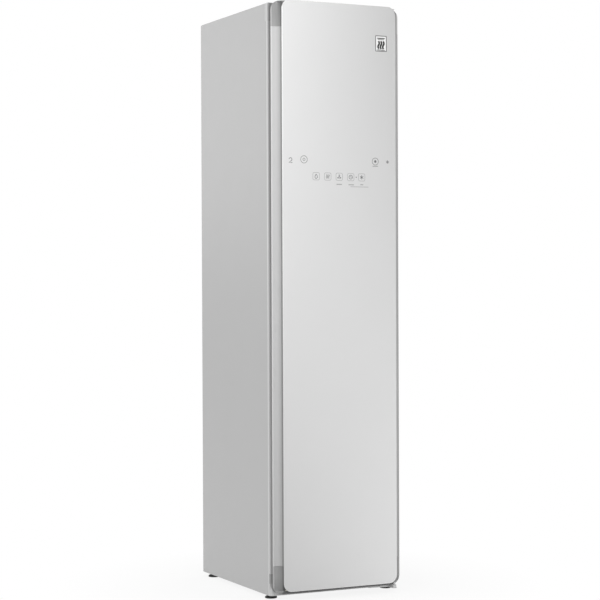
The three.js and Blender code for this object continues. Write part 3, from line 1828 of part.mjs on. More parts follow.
// The steam pipe climbs beside the air duct and ends behind the nozzle
function steamPipe() {
  const besideDuct = -((airSlotCount + 1) * airSlotPitch) / 2 - steamTube * 5;
  const y = blowerY0 + fanWidth / 2;
  return pipe(
    [
      [boilerX, boilerY, boilerTopZ + fit],
      [boilerX, boilerY, boilerTopZ + boilerHeight / 4],
      [boilerX, (boilerY + y) / 2, fanZ - boilerHeight / 2],
      [besideDuct, y, fanZ],
      [besideDuct, y, (fanZ + nozzleZ) / 2],
      [besideDuct, y, nozzleZ - pipeBend],
      [besideDuct + pipeBend, y, nozzleZ],
      [-pipeBend, y + steamTube, nozzleZ],
      [-pipeBend / 4, y + steamTube / 2, nozzleZ],
      [0, linerRearY + nozzleNeck + pipeBend / 4, nozzleZ],
      [0, linerRearY + nozzleNeck + fit, nozzleZ],
    ],
    steamTube,
    22,
    6,
  );
}

function waterPump() {
  const z = trayFloorZ + fit + pumpRadius + plateThickness;
  const half = pumpLength / 2;
  const motor = prismX(circle(pumpY, z, pumpRadius), pumpX - half, pumpX + half);
  const head = prismX(
    circle(pumpY, z, pumpRadius * pumpHeadShare),
    pumpX + half * pumpHeadPlaceShare,
    pumpX + half,
  );
  const base = block(
    pumpX - half,
    pumpX + half,
    pumpY - pumpRadius,
    pumpY + pumpRadius,
    trayFloorZ + fit,
    trayFloorZ + fit + plateThickness * 2,
  );
  const spout = moved(
    rod(steamTube, z, z + pumpRadius * pumpSpoutShare),
    pumpX + half * (1 - pumpHeadPlaceShare),
    pumpY,
    0,
  );
  return joined([motor, head, base, spout]);
}

part('liner_left', sideLiner(-1), linerWhite, 0.5);
part('liner_right', sideLiner(1), linerWhite, 0.5);
part('liner_rear', rearLiner(), linerWhite, 0.5);
part('liner_ceiling', ceilingLiner(), linerWhite, 0.5);
part('liner_floor', floorLiner(), linerWhite, 0.5);
part('steam_nozzle', steamNozzle(), darkGrey, 0.5);
part('lamp_lens', lampLens(), 0xfaf6e8, 0.3);
part('lint_filter', insert(filterWidth, 3), 0x8fa3ad, 0.55).position.x = filterCrossX;
part('aroma_case', insert(aromaWidth, 2), 0xb9c6b4, 0.55).position.x = aromaCrossX;
part('garment_shelf', garmentShelf(), 0xd2d2d0, 0.45);
part('tank_bay', tankBay(), linerWhite, 0.5);
for (const [name, side] of [['supply_tank', -1], ['drain_tank', 1]]) {
  part(name, tank(), tankClear, 0.15).position.x = side * tankCrossX;
  const lidColor = side < 0 ? lidBlue : darkGrey;
  part(`${name}_lid`, tankLidBody(side), lidColor, 0.5).position.x = side * tankCrossX;
}
part('drive_plate', drivePlate(), steelGrey, 0.4, 0.8);
part('hanger_carriage', hangerCarriage(), 0xd8d8d6, 0.4);
part('hanger_bar', hangerBar(), 0xc8c8c6, 0.4);
part('crank_arm', crankArm(), steelGrey, 0.35, 0.8);
part('crank_pulley', crankPulley(), darkGrey, 0.5);
part('motor_pulley', motorPulley(), darkGrey, 0.5).position.x = motorX;
part('drive_belt', driveBelt(), rubberBlack, 0.75);
part('hanger_motor', hangerMotor(), steelGrey, 0.4, 0.7).position.x = motorX;
part('control_box', controlBox(), darkGrey, 0.6);
part('compressor', compressor(), rubberBlack, 0.45, 0.4);
part('evaporator', finnedCoil(evaporatorY), 0xc9ccd0, 0.35, 0.9);
part('condenser', finnedCoil(evaporatorY + coilDepth + coilGap), 0xc9ccd0, 0.35, 0.9);
part('coil_tray', coilTray(), steelGrey, 0.45, 0.8);
part('blower_housing', blowerHousing(), 0x7d8388, 0.6);
part('fan_wheel', fanWheel(), 0x9aa4aa, 0.5).position.z = fanZ;
part('fan_motor', fanMotor(), steelGrey, 0.4, 0.8);
part('steam_generator', steamGenerator(), 0xb8b8ba, 0.3, 0.9);
part('steam_pipe', steamPipe(), 0xb04a34, 0.7);
part('water_pump', waterPump(), darkGrey, 0.5);

export default cabinet;
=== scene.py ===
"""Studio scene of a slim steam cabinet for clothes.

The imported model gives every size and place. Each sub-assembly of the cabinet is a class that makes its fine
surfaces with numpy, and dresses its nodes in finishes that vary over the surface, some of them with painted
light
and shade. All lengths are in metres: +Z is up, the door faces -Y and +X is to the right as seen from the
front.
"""

import json
import logging
import math
from dataclasses import dataclass, field
from enum import Enum
from typing import Iterable, Optional, Union

import bmesh
import bpy
import numpy as np
from mathutils import Matrix, Vector


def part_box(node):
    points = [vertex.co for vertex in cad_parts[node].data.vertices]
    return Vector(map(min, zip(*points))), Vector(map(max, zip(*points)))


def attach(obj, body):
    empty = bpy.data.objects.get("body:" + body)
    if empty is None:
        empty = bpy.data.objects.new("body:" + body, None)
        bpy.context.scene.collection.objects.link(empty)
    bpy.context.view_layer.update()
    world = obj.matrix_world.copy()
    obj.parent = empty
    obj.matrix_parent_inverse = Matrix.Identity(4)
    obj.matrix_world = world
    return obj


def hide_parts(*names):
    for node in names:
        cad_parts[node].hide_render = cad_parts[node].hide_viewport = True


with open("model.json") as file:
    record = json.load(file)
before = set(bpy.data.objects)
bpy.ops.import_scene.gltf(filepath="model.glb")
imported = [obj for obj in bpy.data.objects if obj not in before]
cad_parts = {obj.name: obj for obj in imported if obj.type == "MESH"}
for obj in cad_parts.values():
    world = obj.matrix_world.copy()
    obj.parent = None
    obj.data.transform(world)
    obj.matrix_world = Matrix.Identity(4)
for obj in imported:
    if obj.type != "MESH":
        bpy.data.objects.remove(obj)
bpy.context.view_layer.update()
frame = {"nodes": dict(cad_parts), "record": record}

log = logging.getLogger("steam_cabinet")

MM = 0.001
EDGE_ANGLE = 32.0  # degrees from which an edge is shaded sharp
FLAT_ANGLE = 0.5  # degrees up to which two faces count as one flat face
MERGE_REACH = 0.01 * MM  # distance up to which two points of a CAD mesh are one
NOISE_RANGE = (0.3, 0.7)  # where most values of a noise lie
RECORD = frame["record"]
BODY_OF = {node: body for body, nodes in RECORD["behaviour"]["bodies"].items() for node in nodes}

Pair = tuple[float, float]
Colour = tuple[float, float, float]
Number = Union[float, "Signal"]
Looks = tuple[tuple["Finish", Optional[float], str], ...]


def mm(*lengths: float) -> tuple[float, ...]:
    """Return lengths in millimetres as metres."""
    return tuple(length * MM for length in lengths)


class Along(Enum):
    """The direction in which a brushed or drawn surface runs."""

    X = (1.0, 60.0, 60.0)
    Z = (60.0, 60.0, 1.0)


class Mark(Enum):
    """The pictograms that are printed on the glass and moulded on the tanks."""

    HANGER = "hanger"
    STEAM = "steam"
    STAR = "star"
    DROP = "drop"
    CLOCK = "clock"
    TWO = "two"


class Signal:
    """A number that varies over a surface: one output socket, with Python's operators on it."""

    def __init__(self, bench: "Bench", socket: bpy.types.NodeSocket) -> None:
        """Wrap one output socket of the tree on a bench."""
        self.bench = bench
        self.socket = socket

    def _calc(self, operation: str, first: Number, second: Number) -> "Signal":
        """Return a Math node of two values."""
        return self.bench.node("ShaderNodeMath", {"operation": operation}, {0: first, 1: second})

    def __add__(self, other: Number) -> "Signal":
        """Return self + other."""
        return self._calc("ADD", self, other)

    def __sub__(self, other: Number) -> "Signal":
        """Return self - other."""
        return self._calc("SUBTRACT", self, other)

    def __rsub__(self, other: Number) -> "Signal":
        """Return other - self."""
        return self._calc("SUBTRACT", other, self)

    def __mul__(self, other: Number) -> "Signal":
        """Return self * other."""
        return self._calc("MULTIPLY", self, other)

    def greatest(self, other: Number) -> "Signal":
        """Return the larger of self and other."""
        return self._calc("MAXIMUM", self, other)

    def size(self) -> "Signal":
        """Return self without its sign."""
        return self._calc("ABSOLUTE", self, 0.0)

    def wave(self) -> "Signal":
        """Return the sine of self."""
        return self._calc("SINE", self, 0.0)

    def span(self, low: float, high: float, to_low: float = 0.0, to_high: float = 1.0) -> "Signal":
        """Return self mapped from the range low to high to another range, and held there."""
        return self.bench.node("ShaderNodeMapRange", {}, {0: self, 1: low, 2: high, 3: to_low, 4: to_high})


class Bench:
    """One node tree, and one method that adds any node to it."""

    def __init__(self, tree: bpy.types.NodeTree) -> None:
        """Clear the tree of a material or of the world."""
        self.tree = tree
        tree.nodes.clear()

    def node(self, kind: str, settings: dict, inputs: dict, output: Union[int, str] = 0) -> Signal:
        """Add one node.

        Args:
            kind: the type of the node.
            settings: its properties, set first; "stops" holds a ramp's places and colours.
            inputs: values or signals by the name or the number of the input.
            output: the name or the number of the output to return.

        Returns:
            The chosen output as a signal.
        """
        made = self.tree.nodes.new(kind)
        for key, value in settings.items():
            if key != "stops":
                setattr(made, key, value)
                continue
            while len(made.color_ramp.elements) < len(value):
                made.color_ramp.elements.new(0.5)
            for element, (place, colour) in zip(made.color_ramp.elements, value):
                element.position = place
                element.color = (*colour, 1.0)
        for key, value in inputs.items():
            if isinstance(value, Signal):
                self.tree.links.new(value.socket, made.inputs[key])
            elif value is not None:
                made.inputs[key].default_value = value
        return Signal(self, made.outputs[output]) if len(made.outputs) else None

    def place(self, axis: Optional[str] = None) -> Signal:
        """Return the point on the object, in metres, or one coordinate of it."""
        point = self.node("ShaderNodeTexCoord", {}, {}, "Object")
        return self.node("ShaderNodeSeparateXYZ", {}, {0: point}, axis) if axis else point

    def noise(self, size: float, detail: float = 2.0, stretch: Colour = (1.0, 1.0, 1.0)) -> Signal:
        """Return noise from 0 to 1, with blotches of a size in metres, squeezed along the axes by stretch."""
        point = self.node("ShaderNodeVectorMath", {"operation": "MULTIPLY"}, {0: self.place(), 1: stretch})
        return self.node("ShaderNodeTexNoise", {}, {"Vector": point, "Scale": 1.0 / size, "Detail": detail})

    def blend(self, first: Union[Colour, Signal], second: Union[Colour, Signal], share: Number) -> Signal:
        """Return two colours mixed, with the second one's share."""
        low, high = (end if isinstance(end, Signal) else (*end, 1.0) for end in (first, second))
        return self.node("ShaderNodeMix", {"data_type": "RGBA"}, {"Factor": share, 6: low, 7: high}, 2)

    def scaled(self, colour: Signal, level: Signal) -> Signal:
        """Return a colour multiplied by a number that varies."""
        grey = self.node("ShaderNodeCombineXYZ", {}, {0: level, 1: level, 2: level})
        return self.node("ShaderNodeVectorMath", {"operation": "MULTIPLY"}, {0: colour, 1: grey})

    def relief(self, height: Signal, depth: float) -> Signal:
        """Return a normal bent by a height map of the given depth in metres."""
        return self.node("ShaderNodeBump", {}, {"Distance": depth, "Height": height})

    def seen(self) -> Signal:
        """Tell where the camera looks, straight or by a mirror or through glass.

        Returns:
            1 on those rays and 0 on others.
        """
        kinds = ("Is Camera Ray", "Is Glossy Ray", "Is Transmission Ray")
        camera, mirror, through = (self.node("ShaderNodeLightPath", {}, {}, kind) for kind in kinds)
        return camera.greatest(mirror).greatest(through)


def grey(level: float) -> Colour:
    """Return the grey of a level from 0 for black to 1 for white."""
    return (level, level, level)


def shade(colour: Colour, share: float) -> Colour:
    """Return a colour multiplied by a share."""
    return tuple(part * share for part in colour)


@dataclass(frozen=True)
class Finish:
    """A moulded or painted surface: faint blotches of colour and gloss, and a fine grain."""

    name: str
    colour: Colour
    roughness: float = 0.45
    metallic: float = 0.0
    coat: float = 0.0
    mottle: float = 0.03
    mottle_size: float = 0.12
    gloss_spread: float = 0.1
    grain: float = 20e-6
    grain_size: float = 0.0012
    transmission: float = 0.0
    glow: float = 0.0

    def pattern(self, bench: Bench) -> Signal:
        """Return the pattern of the colour, from 0 to 1."""
        return bench.noise(self.mottle_size)

    def gloss_pattern(self, bench: Bench) -> Signal:
        """Return the pattern of the gloss, from 0 to 1."""
        return bench.noise(self.mottle_size / 3).span(*NOISE_RANGE)

    def tone(self, bench: Bench) -> Signal:
        """Return the colour over the surface."""
        dark, light = (shade(self.colour, 1 + side * self.mottle) for side in (-1, 1))
        return bench.blend(dark, light, self.pattern(bench))

    def gloss(self, bench: Bench) -> Signal:
        """Return the roughness over the surface."""
        low, high = (self.roughness * (1 + side * self.gloss_spread) for side in (-1, 1))
        return self.gloss_pattern(bench).span(0.0, 1.0, low, high)

    def height(self, bench: Bench) -> Signal:
        """Return the height map of the grain, from 0 to 1."""
        return bench.noise(self.grain_size, 1.0)

    def build(self) -> bpy.types.Material:
        """Make the material, or return the one that was made before.

        Returns:
            The material.
        """
        title = self.name + "_surface"
        known = bpy.data.materials.get(title)
        if known:
            return known
        material = bpy.data.materials.new(title)
        material.use_nodes = True
        bench = Bench(material.node_tree)
        inputs = {
            "Base Color": self.tone(bench),
            "Roughness": self.gloss(bench),
            "Metallic": self.metallic,
            "Coat Weight": self.coat,
            "Transmission Weight": self.transmission,
            "Normal": bench.relief(self.height(bench), self.grain),
        }
        if self.glow:
            inputs["Emission Color"] = self.tone(bench)
            inputs["Emission Strength"] = self.glow
        surface = bench.node("ShaderNodeBsdfPrincipled", {}, inputs)
        bench.node("ShaderNodeOutputMaterial", {}, {"Surface": surface})
        material.diffuse_color = (*self.colour, 1.0)
        return material


@dataclass(frozen=True)
class Brushed(Finish):
    """A drawn or brushed metal: fine streaks along one axis."""

    mottle: float = 0.06
    gloss_spread: float = 0.15
    along: Along = Along.Z
    streak_size: float = 0.02

    def pattern(self, bench: Bench) -> Signal:
        """Return the streaks, from 0 to 1."""
        return bench.noise(self.streak_size, 3.0, self.along.value)

    def gloss_pattern(self, bench: Bench) -> Signal:
        """Return the streaks again, with more contrast."""
        return self.pattern(bench).span(*NOISE_RANGE)

    def height(self, bench: Bench) -> Signal:
        """Return the height map of the streaks."""
        return self.pattern(bench)


@dataclass(frozen=True)
class Spangled(Finish):
    """Galvanised sheet: flat crystals that differ a little in tone and gloss."""

    mottle: float = 0.1
    gloss_spread: float = 0.2
    crystal: float = 0.011

    def pattern(self, bench: Bench) -> Signal:
        """Give each crystal a random number.

        Args:
            bench: the node tree of the material.

        Returns:
            The numbers, from 0 to 1.
        """
        colour = bench.node("ShaderNodeTexVoronoi", {"feature": "F1"},
                            {"Vector": bench.place(), "Scale": 1.0 / self.crystal}, "Color")
        return bench.node("ShaderNodeSeparateColor", {}, {0: colour}, 0)

    def gloss_pattern(self, bench: Bench) -> Signal:
        """Return the random numbers again."""
        return self.pattern(bench)


@dataclass(frozen=True)
class PaintedLightPanel(Finish):
    """A panel with painted light and shade: its tone runs evenly between its four corners."""

    top: float = 1.85
    half: float = 0.2
    # painted light and shade: shares of the colour at the lower left, lower right, top left and top right
    # corners
    corners: tuple[float, float, float, float] = (1.0, 1.0, 1.0, 1.0)

    def tone(self, bench: Bench) -> Signal:
        """Blend the painted light and shade of the four corners: bilinear in X and Z, times faint blotches.

        Args:
            bench: the node tree of the material.

        Returns:
            The colour over the surface.
        """
        rise = bench.place("Z").span(0.0, self.top)
        across = bench.place("X").span(-self.half, self.half)
        low_left, low_right, top_left, top_right = (shade(self.colour, corner) for corner in self.corners)
        low = bench.blend(low_left, low_right, across)
        high = bench.blend(top_left, top_right, across)
        cloud = bench.noise(self.mottle_size).span(*NOISE_RANGE, 1 - self.mottle, 1 + self.mottle)
        return bench.scaled(bench.blend(low, high, rise), cloud)


@dataclass(frozen=True)
class FoldedSheet(PaintedLightPanel):
    """A sheet with painted light whose side wall has painted shade at its folded front edge and a painted
    highlight beside it.
    """

    front: float = -0.2425
    wall: float = 0.2225
    wall_reach: Pair = mm(3, 1)
    fold: float = 3.5 * MM
    fold_shade_share: float = 0.7
    fold_fade: float = 1 * MM
    fold_from: float = 0.0
    foot_fade: float = 4 * MM
    beside: float = 7.5 * MM
    fade: float = 3 * MM
    rise: Pair = (0.4, 1.85)
    beside_highlight_share: Pair = (1.3, 1.5)

    def tone(self, bench: Bench) -> Signal:
        """Lay the painted shade of the fold and the painted highlight strip beside it over the plain sheet.

        Args:
            bench: the node tree of the material.

        Returns:
            The colour over the surface.
        """
        depth, height = bench.place("Y") - self.front, bench.place("Z")
        strip_end = self.fold + self.beside
        near = depth.span(strip_end, strip_end + self.fade, 1.0, 0.0)
        near = near * bench.place("X").size().span(*(self.wall - reach for reach in self.wall_reach))
        # painted highlight beside the fold, stronger higher up
        strip = height.span(*self.rise, *self.beside_highlight_share)
        # painted shade at the folded edge, from fold_from upwards
        fold = depth.span(self.fold, self.fold + self.fold_fade, self.fold_shade_share, 1.0)
        fold = fold.greatest(height.span(self.fold_from, self.fold_from + self.foot_fade, 1.0, 0.0))
        sheet = super().tone(bench)
        return bench.blend(sheet, bench.scaled(sheet, strip * fold), near)


@dataclass(frozen=True)
class GapShadowSheet(FoldedSheet):
    """A folded sheet with a painted shadow at its left end, in the gap round the corner of the door."""

    gap_middle: Pair = mm(-189, 48)
    gap_radius: float = 30 * MM
    gap_blur: float = 2 * MM
    gap_end: float = -203 * MM
    gap_fade: float = 4 * MM
    gap_shadow_share: float = 0.5

    def tone(self, bench: Bench) -> Signal:
        """Paint the shadow: darken the sheet beyond the radius about the middle of the corner.

        Args:
            bench: the node tree of the material.

        Returns:
            The colour over the surface.
        """
        place = bench.place("X")
        across = (self.gap_middle[0] - place).greatest(0.0)
        down = (self.gap_middle[1] - bench.place("Z")).greatest(0.0)
        outer = self.gap_radius + self.gap_blur
        share = (across * across + down * down).span(self.gap_radius ** 2, outer ** 2, self.gap_shadow_share, 1.0)
        share = share.greatest(place.span(self.gap_end - self.gap_fade, self.gap_end))
        return bench.scaled(super().tone(bench), share)


@dataclass(frozen=True)
class PaintedGlass(PaintedLightPanel):
    """A panel behind glass with painted light and shade, and a painted highlight along its polished edges."""

    edge: float = 1.5 * MM
    edge_share: float = 0.6
    edge_highlight: Pair = (0.95, 1.35)
    foot_highlight: Pair = (1.3, 0.9)
    low: float = 28.7 * MM
    radius: float = 27 * MM

    def tone(self, bench: Bench) -> Signal:
        """Paint a highlight along the panel's edges and round the lower corners.

        Args:
            bench: the node tree of the material.

        Returns:
            The colour over the surface.
        """
        across = (bench.place("X").size() - (self.half - self.radius)).greatest(0.0)
        height = bench.place("Z")
        down = ((self.low + self.radius) - height).greatest(0.0)
        inner, outer = self.radius - self.edge, self.radius - self.edge * self.edge_share
        near = (across * across + down * down).span(inner ** 2, outer ** 2)
        upright = height.span(0.0, self.top, *self.edge_highlight)
        foot = height.span(self.low, self.low + self.radius, *self.foot_highlight)
        face = super().tone(bench)
        return bench.blend(face, bench.scaled(face, upright.greatest(foot)), near)


@dataclass(frozen=True)
class CoveSilver(Finish):
    """Silver with painted light and shade: lighter or darker at the rim of the door, painted shade towards
    the wall beside the glass and towards the bottom.
    """

    top: float = 1.85
    rim: float = 0.2225
    depth: float = 0.038
    # painted light and shade: the colour's share from the wall by the glass (0) to the rim (1)
    stops: tuple[Pair, ...] = (
        (0.0, 0.35), (0.2, 0.35), (0.24, 0.5), (0.3, 0.85), (0.42, 0.93), (0.6, 1.0), (0.88, 1.0),
        (0.95, 1.22), (1.0, 1.22))
    low_shade_share: float = 0.85

    def tone(self, bench: Bench) -> Signal:
        """Run a ramp of painted light and shade over the distance from the middle, and darken it downwards
        with painted shade.

        Args:
            bench: the node tree of the material.

        Returns:
            The colour over the surface.
        """
        place = bench.place("X").size().span(self.rim - self.depth, self.rim)
        stops = [(share, shade(self.colour, level)) for share, level in self.stops]
        ramp = bench.node("ShaderNodeValToRGB", {"stops": stops}, {0: place})
        return bench.scaled(ramp, bench.place("Z").span(0.0, self.top, self.low_shade_share, 1.0))


@dataclass(frozen=True)
class FinPack(Finish):
    """Rows of thin fins across the width of a coil, with painted shade between them."""

    pitch: float = 0.0018
    low_shade_share: float = 0.35

    def tone(self, bench: Bench) -> Signal:
        """Return the colour over the surface, with painted shade where it lies lower, between the fins."""
        return bench.blend(shade(self.colour, self.low_shade_share), self.colour, self.height(bench))

    def height(self, bench: Bench) -> Signal:
        """Return the fins: a sine of X at the pitch."""
        return (bench.place("X") * (2 * math.pi / self.pitch)).wave() * 0.5 + 0.5


@dataclass(frozen=True)
class Perforated(FinPack):
    """A fine mesh: round dots on a square grid in X and Z, each a hole with painted shade in it."""

    pitch: float = 0.004

    def height(self, bench: Bench) -> Signal:
        """Make the mesh: the product of two sines, low in each hole.

        Args:
            bench: the node tree of the material.

        Returns:
            The height map, from 0 to 1.
        """
        turns = 2 * math.pi / self.pitch
        across = (bench.place("X") * turns).wave()
        upright = (bench.place("Z") * turns).wave()
        return (across * upright).span(-0.2, 0.4, 1.0, 0.0)


@dataclass(frozen=True)
class CircuitBoard(Finish):
    """A green board with paler tracks."""

    track: float = 0.006
    track_gain: float = 2.4
    track_edge: Pair = (0.62, 0.66)

    def tone(self, bench: Bench) -> Signal:
        """Draw the tracks where two cells of a square pattern are far from a middle.

        Args:
            bench: the node tree of the material.

        Returns:
            The colour over the surface.
        """
        lines = bench.node("ShaderNodeTexVoronoi", {"distance": "MANHATTAN", "feature": "F2"},
                           {"Vector": bench.place(), "Scale": 1.0 / self.track}, "Distance")
        return bench.blend(self.colour, shade(self.colour, self.track_gain), lines.span(*self.track_edge))


# painted light and shade: the corner shares make the top of the case darker and the right of the kick trim
# lighter; the folds carry painted shade, the case's fold a painted highlight beside it, and the trims a
# painted shadow at their left ends
CASE_PAINT = FoldedSheet("case_paint_satin", grey(0.51), 0.42, mottle=0.004, gloss_spread=0.02,
                         corners=(1.0, 1.0, 0.79, 0.79), grain=12e-6)
TRIM_SILVER = GapShadowSheet("trim_silver", grey(0.47), 0.4, mottle=0.01, fold=2 * MM, fold_shade_share=0.45,
                       beside_highlight_share=(1.0, 1.1), gap_middle=mm(-189, 0), gap_end=-208 * MM,
                       gap_shadow_share=0.65, grain=5e-6)
KICK_SILVER = GapShadowSheet("kick_silver", grey(0.61), 0.4, mottle=0.01, top=0.08, half=0.2225,
                       corners=(1.0, 1.45, 1.0, 1.3), fold=5 * MM, fold_shade_share=0.36, fold_from=0.03,
                       beside_highlight_share=(1.0, 1.0), grain=5e-6)
SHEET_STEEL = Spangled("galvanised_sheet", (0.46, 0.47, 0.48), 0.42, 0.75)
FORGED_STEEL = Brushed("plated_steel", grey(0.5), 0.35, 0.9, grain=10e-6)
# lit and shaded copies of one silver: the left rail is the lit copy and the right rail the shaded copy; the
# ramps paint light or shade at the rim, shade towards the glass and shade towards the bottom
RAIL_SILVER_LIT = CoveSilver("rail_silver", grey(0.735), 0.6, grain=4e-6, low_shade_share=0.7)
RAIL_SHADED = CoveSilver("rail_silver_shaded", grey(0.48), 0.6, grain=4e-6, low_shade_share=0.95, stops=(
    (0.0, 0.35), (0.24, 0.5), (0.3, 0.9), (0.6, 1.0), (0.93, 1.0), (0.97, 0.75), (1.0, 0.75)))
CAP_SILVER = CoveSilver("cap_silver", grey(0.44), 0.5, grain=4e-6, low_shade_share=0.75, stops=(
    (0.0, 0.2), (0.2, 0.3), (0.28, 0.75), (0.42, 0.84), (0.55, 0.87), (0.72, 1.0), (0.88, 1.0), (0.94, 1.4),
    (1.0, 1.4)))
# painted light and shade: the corner shares make the glass lightest at the top left and darkest at the lower
# left
GLASS_FACE = PaintedGlass("back_painted_glass", grey(0.8), 0.08, mottle=0.004, half=0.198,
                          corners=(0.74, 1.0, 1.11, 0.77), grain=1e-6)
FOAM = Finish("rigid_foam", (0.8, 0.76, 0.62), 0.9, mottle=0.08, mottle_size=0.02, grain=600e-6,
              grain_size=0.004)
DOOR_SHELL = Finish("door_shell_plastic", grey(0.42), 0.5, mottle=0.015)
LINER = Finish("liner_plastic", (0.72, 0.72, 0.71), 0.36, mottle=0.015)
PRESS = Finish("press_board_plastic", grey(0.6), 0.4, mottle=0.015)
GASKET = Finish("soft_gasket", grey(0.09), 0.62, grain=40e-6)
BELT = Finish("belt_rubber", grey(0.02), 0.7, grain=60e-6, grain_size=0.002)
FOOT_RUBBER = Finish("foot_rubber", grey(0.01), 0.6, grain=40e-6)
FOOT_BAND = Finish("foot_band", grey(0.1), 0.5)
BOARD = CircuitBoard("circuit_board", (0.02, 0.11, 0.04), 0.35)
DARK_PLASTIC = Finish("dark_plastic", (0.05, 0.05, 0.052), 0.4)
MOTOR_GREY = Brushed("motor_can", (0.3, 0.3, 0.31), 0.35, 0.85)
LAMP = Finish("lamp_lens", (0.95, 0.9, 0.78), 0.25, glow=0.7)
FILTER_MESH = Perforated("filter_mesh", (0.34, 0.42, 0.46), 0.5, grain=400e-6)
AROMA = Finish("aroma_case_plastic", (0.3, 0.38, 0.42), 0.3)
TANK = Finish("tank_clear_plastic", (0.66, 0.78, 0.84), 0.12, transmission=0.55, grain=4e-6)
FINS = FinPack("coil_fins", (0.66, 0.67, 0.68), 0.35, 0.8, grain=800e-6)
BLOWER = Finish("blower_plastic", (0.13, 0.14, 0.15), 0.45)
COMPRESSOR_PAINT = Finish("compressor_paint", (0.012, 0.012, 0.013), 0.28, coat=0.4, grain=30e-6)
BOILER = Brushed("boiler_steel", (0.6, 0.59, 0.57), 0.3, 0.95, along=Along.X)
HOSE = Finish("silicone_hose", (0.45, 0.09, 0.05), 0.5)
INK = Finish("printed_ink", (0.16, 0.16, 0.165), 0.35, mottle=0.05, grain=1e-6)
PALE_INK = Finish("printed_pale_ink", grey(0.36), 0.35, mottle=0.05, grain=1e-6)
LABEL = Finish("label_film", grey(0.93), 0.3, mottle=0.01, grain=1e-6)
BLACK_INK = Finish("printed_black_ink", grey(0.015), 0.4, grain=1e-6)
LABEL_EDGE = Finish("label_edge", grey(0.09), 0.3, mottle=0.02, grain=1e-6)


@dataclass
class Skin:
    """The points and the faces of one or more closed surfaces."""

    points: np.ndarray
    faces: list[list[int]]

    @staticmethod
    def of_rings(rings: np.ndarray, wrap: bool = False) -> "Skin":
        """Close a grid of rings into a surface whose faces point outwards.

        Args:
            rings: points in a grid, one closed ring in each row.
            wrap: whether the last ring joins the first; otherwise the two end rings are filled.

        Returns:
            The surface. Its volume is the sum over its triangles of a . (b x c) / 6, and where that is
            negative the faces are turned round.
        """
        rows, count, _ = rings.shape
        index = np.arange(rows * count).reshape(rows, count)
        here = index if wrap else index[:-1]
        following = np.roll(index, -1, axis=0) if wrap else index[1:]
        quads = np.stack([here, np.roll(here, -1, 1), np.roll(following, -1, 1), following], -1)
        quads = quads.reshape(-1, 4)
        points = rings.reshape(-1, 3)
        corners = points[quads]
        halves = [corners[:, (0, 1, 2)], corners[:, (0, 2, 3)]]
        ends = [] if wrap else [index[0][::-1], index[-1]]
        halves += [
            np.stack([np.broadcast_to(points[end[0]], (count - 2, 3)), points[end[1:-1]], points[end[2:]]], 1)
            for end in ends
        ]
        triangles = np.concatenate(halves) - points.mean(0)
        volume = np.einsum("ij,ij->", triangles[:, 0], np.cross(triangles[:, 1], triangles[:, 2]))
        faces = quads.tolist() + [end.tolist() for end in ends]
        return Skin(points, faces if volume > 0 else [face[::-1] for face in faces])

    @staticmethod
    def joined(skins: Iterable["Skin"]) -> "Skin":
        """Join several surfaces.

        Args:
            skins: the surfaces.

        Returns:
            One surface, with the faces of each counted on from its own first point.
        """
        points, faces, start = [], [], 0
        for skin in skins:
            points.append(skin.points)
            faces += [[start + corner for corner in face] for face in skin.faces]
            start += len(skin.points)
        return Skin(np.concatenate(points), faces)

    def moved(self, x: float = 0.0, y: float = 0.0, z: float = 0.0) -> "Skin":
        """Return the surface moved."""
        return Skin(self.points + np.array([x, y, z]), self.faces)

    def mesh(self, name: str) -> bpy.types.Mesh:
        """Make a mesh of the surface.

        Args:
            name: its name.

        Returns:
            The mesh.
        """
        mesh = bpy.data.meshes.new(name)
        mesh.from_pydata(self.points.tolist(), [], self.faces)
        return mesh


def arc(u: float, v: float, radius: float, start: float, end: float, steps: int = 12) -> np.ndarray:
    """Return steps + 1 points on an arc about (u, v), at equal angles from start to end in degrees."""
    angles = np.radians(np.linspace(start, end, steps + 1))
    return np.stack([u + radius * np.cos(angles), v + radius * np.sin(angles)], -1)


def circle(u: float, v: float, radius: float, steps: int = 40) -> np.ndarray:
    """Return the points of a whole circle, anticlockwise."""
    return arc(u, v, radius, 0.0, 360.0, steps)[:-1]


def rounded(u0: float, u1: float, v0: float, v1: float, radius: float, steps: int = 10) -> np.ndarray:
    """Return a rectangle with round corners, anticlockwise.

    Args:
        u0: the low end along the first axis.
        u1: the high end along it.
        v0: the low end along the second axis.
        v1: the high end along it.
        radius: the radius of the corners.
        steps: the steps of each quarter arc.

    Returns:
        Four quarter arcs, one after another.
    """
    return np.concatenate([
        arc(u1 - radius, v1 - radius, radius, 0, 90, steps),
        arc(u0 + radius, v1 - radius, radius, 90, 180, steps),
        arc(u0 + radius, v0 + radius, radius, 180, 270, steps),
        arc(u1 - radius, v0 + radius, radius, 270, 360, steps),
    ])


def bar(x0: float, x1: float, z: float, height: float, radius: float, steps: int = 3) -> np.ndarray:
    """Return the outline of a level bar with round corners from x0 to x1, about the height z."""
    return rounded(x0, x1, z - height / 2, z + height / 2, radius, steps)


def inset(outline: np.ndarray, distance: float) -> np.ndarray:
    """Move an anticlockwise outline inwards, each point along the normal between its neighbours.

    Args:
        outline: the points in the plane.
        distance: how far they move.

    Returns:
        The moved points.
    """
    along = np.roll(outline, -1, 0) - np.roll(outline, 1, 0)
    along /= np.linalg.norm(along, axis=1, keepdims=True)
    return outline + distance * np.stack([-along[:, 1], along[:, 0]], -1)


def stroke(path: np.ndarray, width: float) -> np.ndarray:
    """Widen a path to a line: its points moved to both sides by half the width.

    Args:
        path: the points along the middle.
        width: the width of the line.

    Returns:
        The outline of the line.
    """
    path = np.asarray(path, float)
    along = np.gradient(path, axis=0)
    along /= np.linalg.norm(along, axis=1, keepdims=True)
    side = np.stack([-along[:, 1], along[:, 0]], -1) * width / 2
    return np.concatenate([path - side, (path + side)[::-1]])


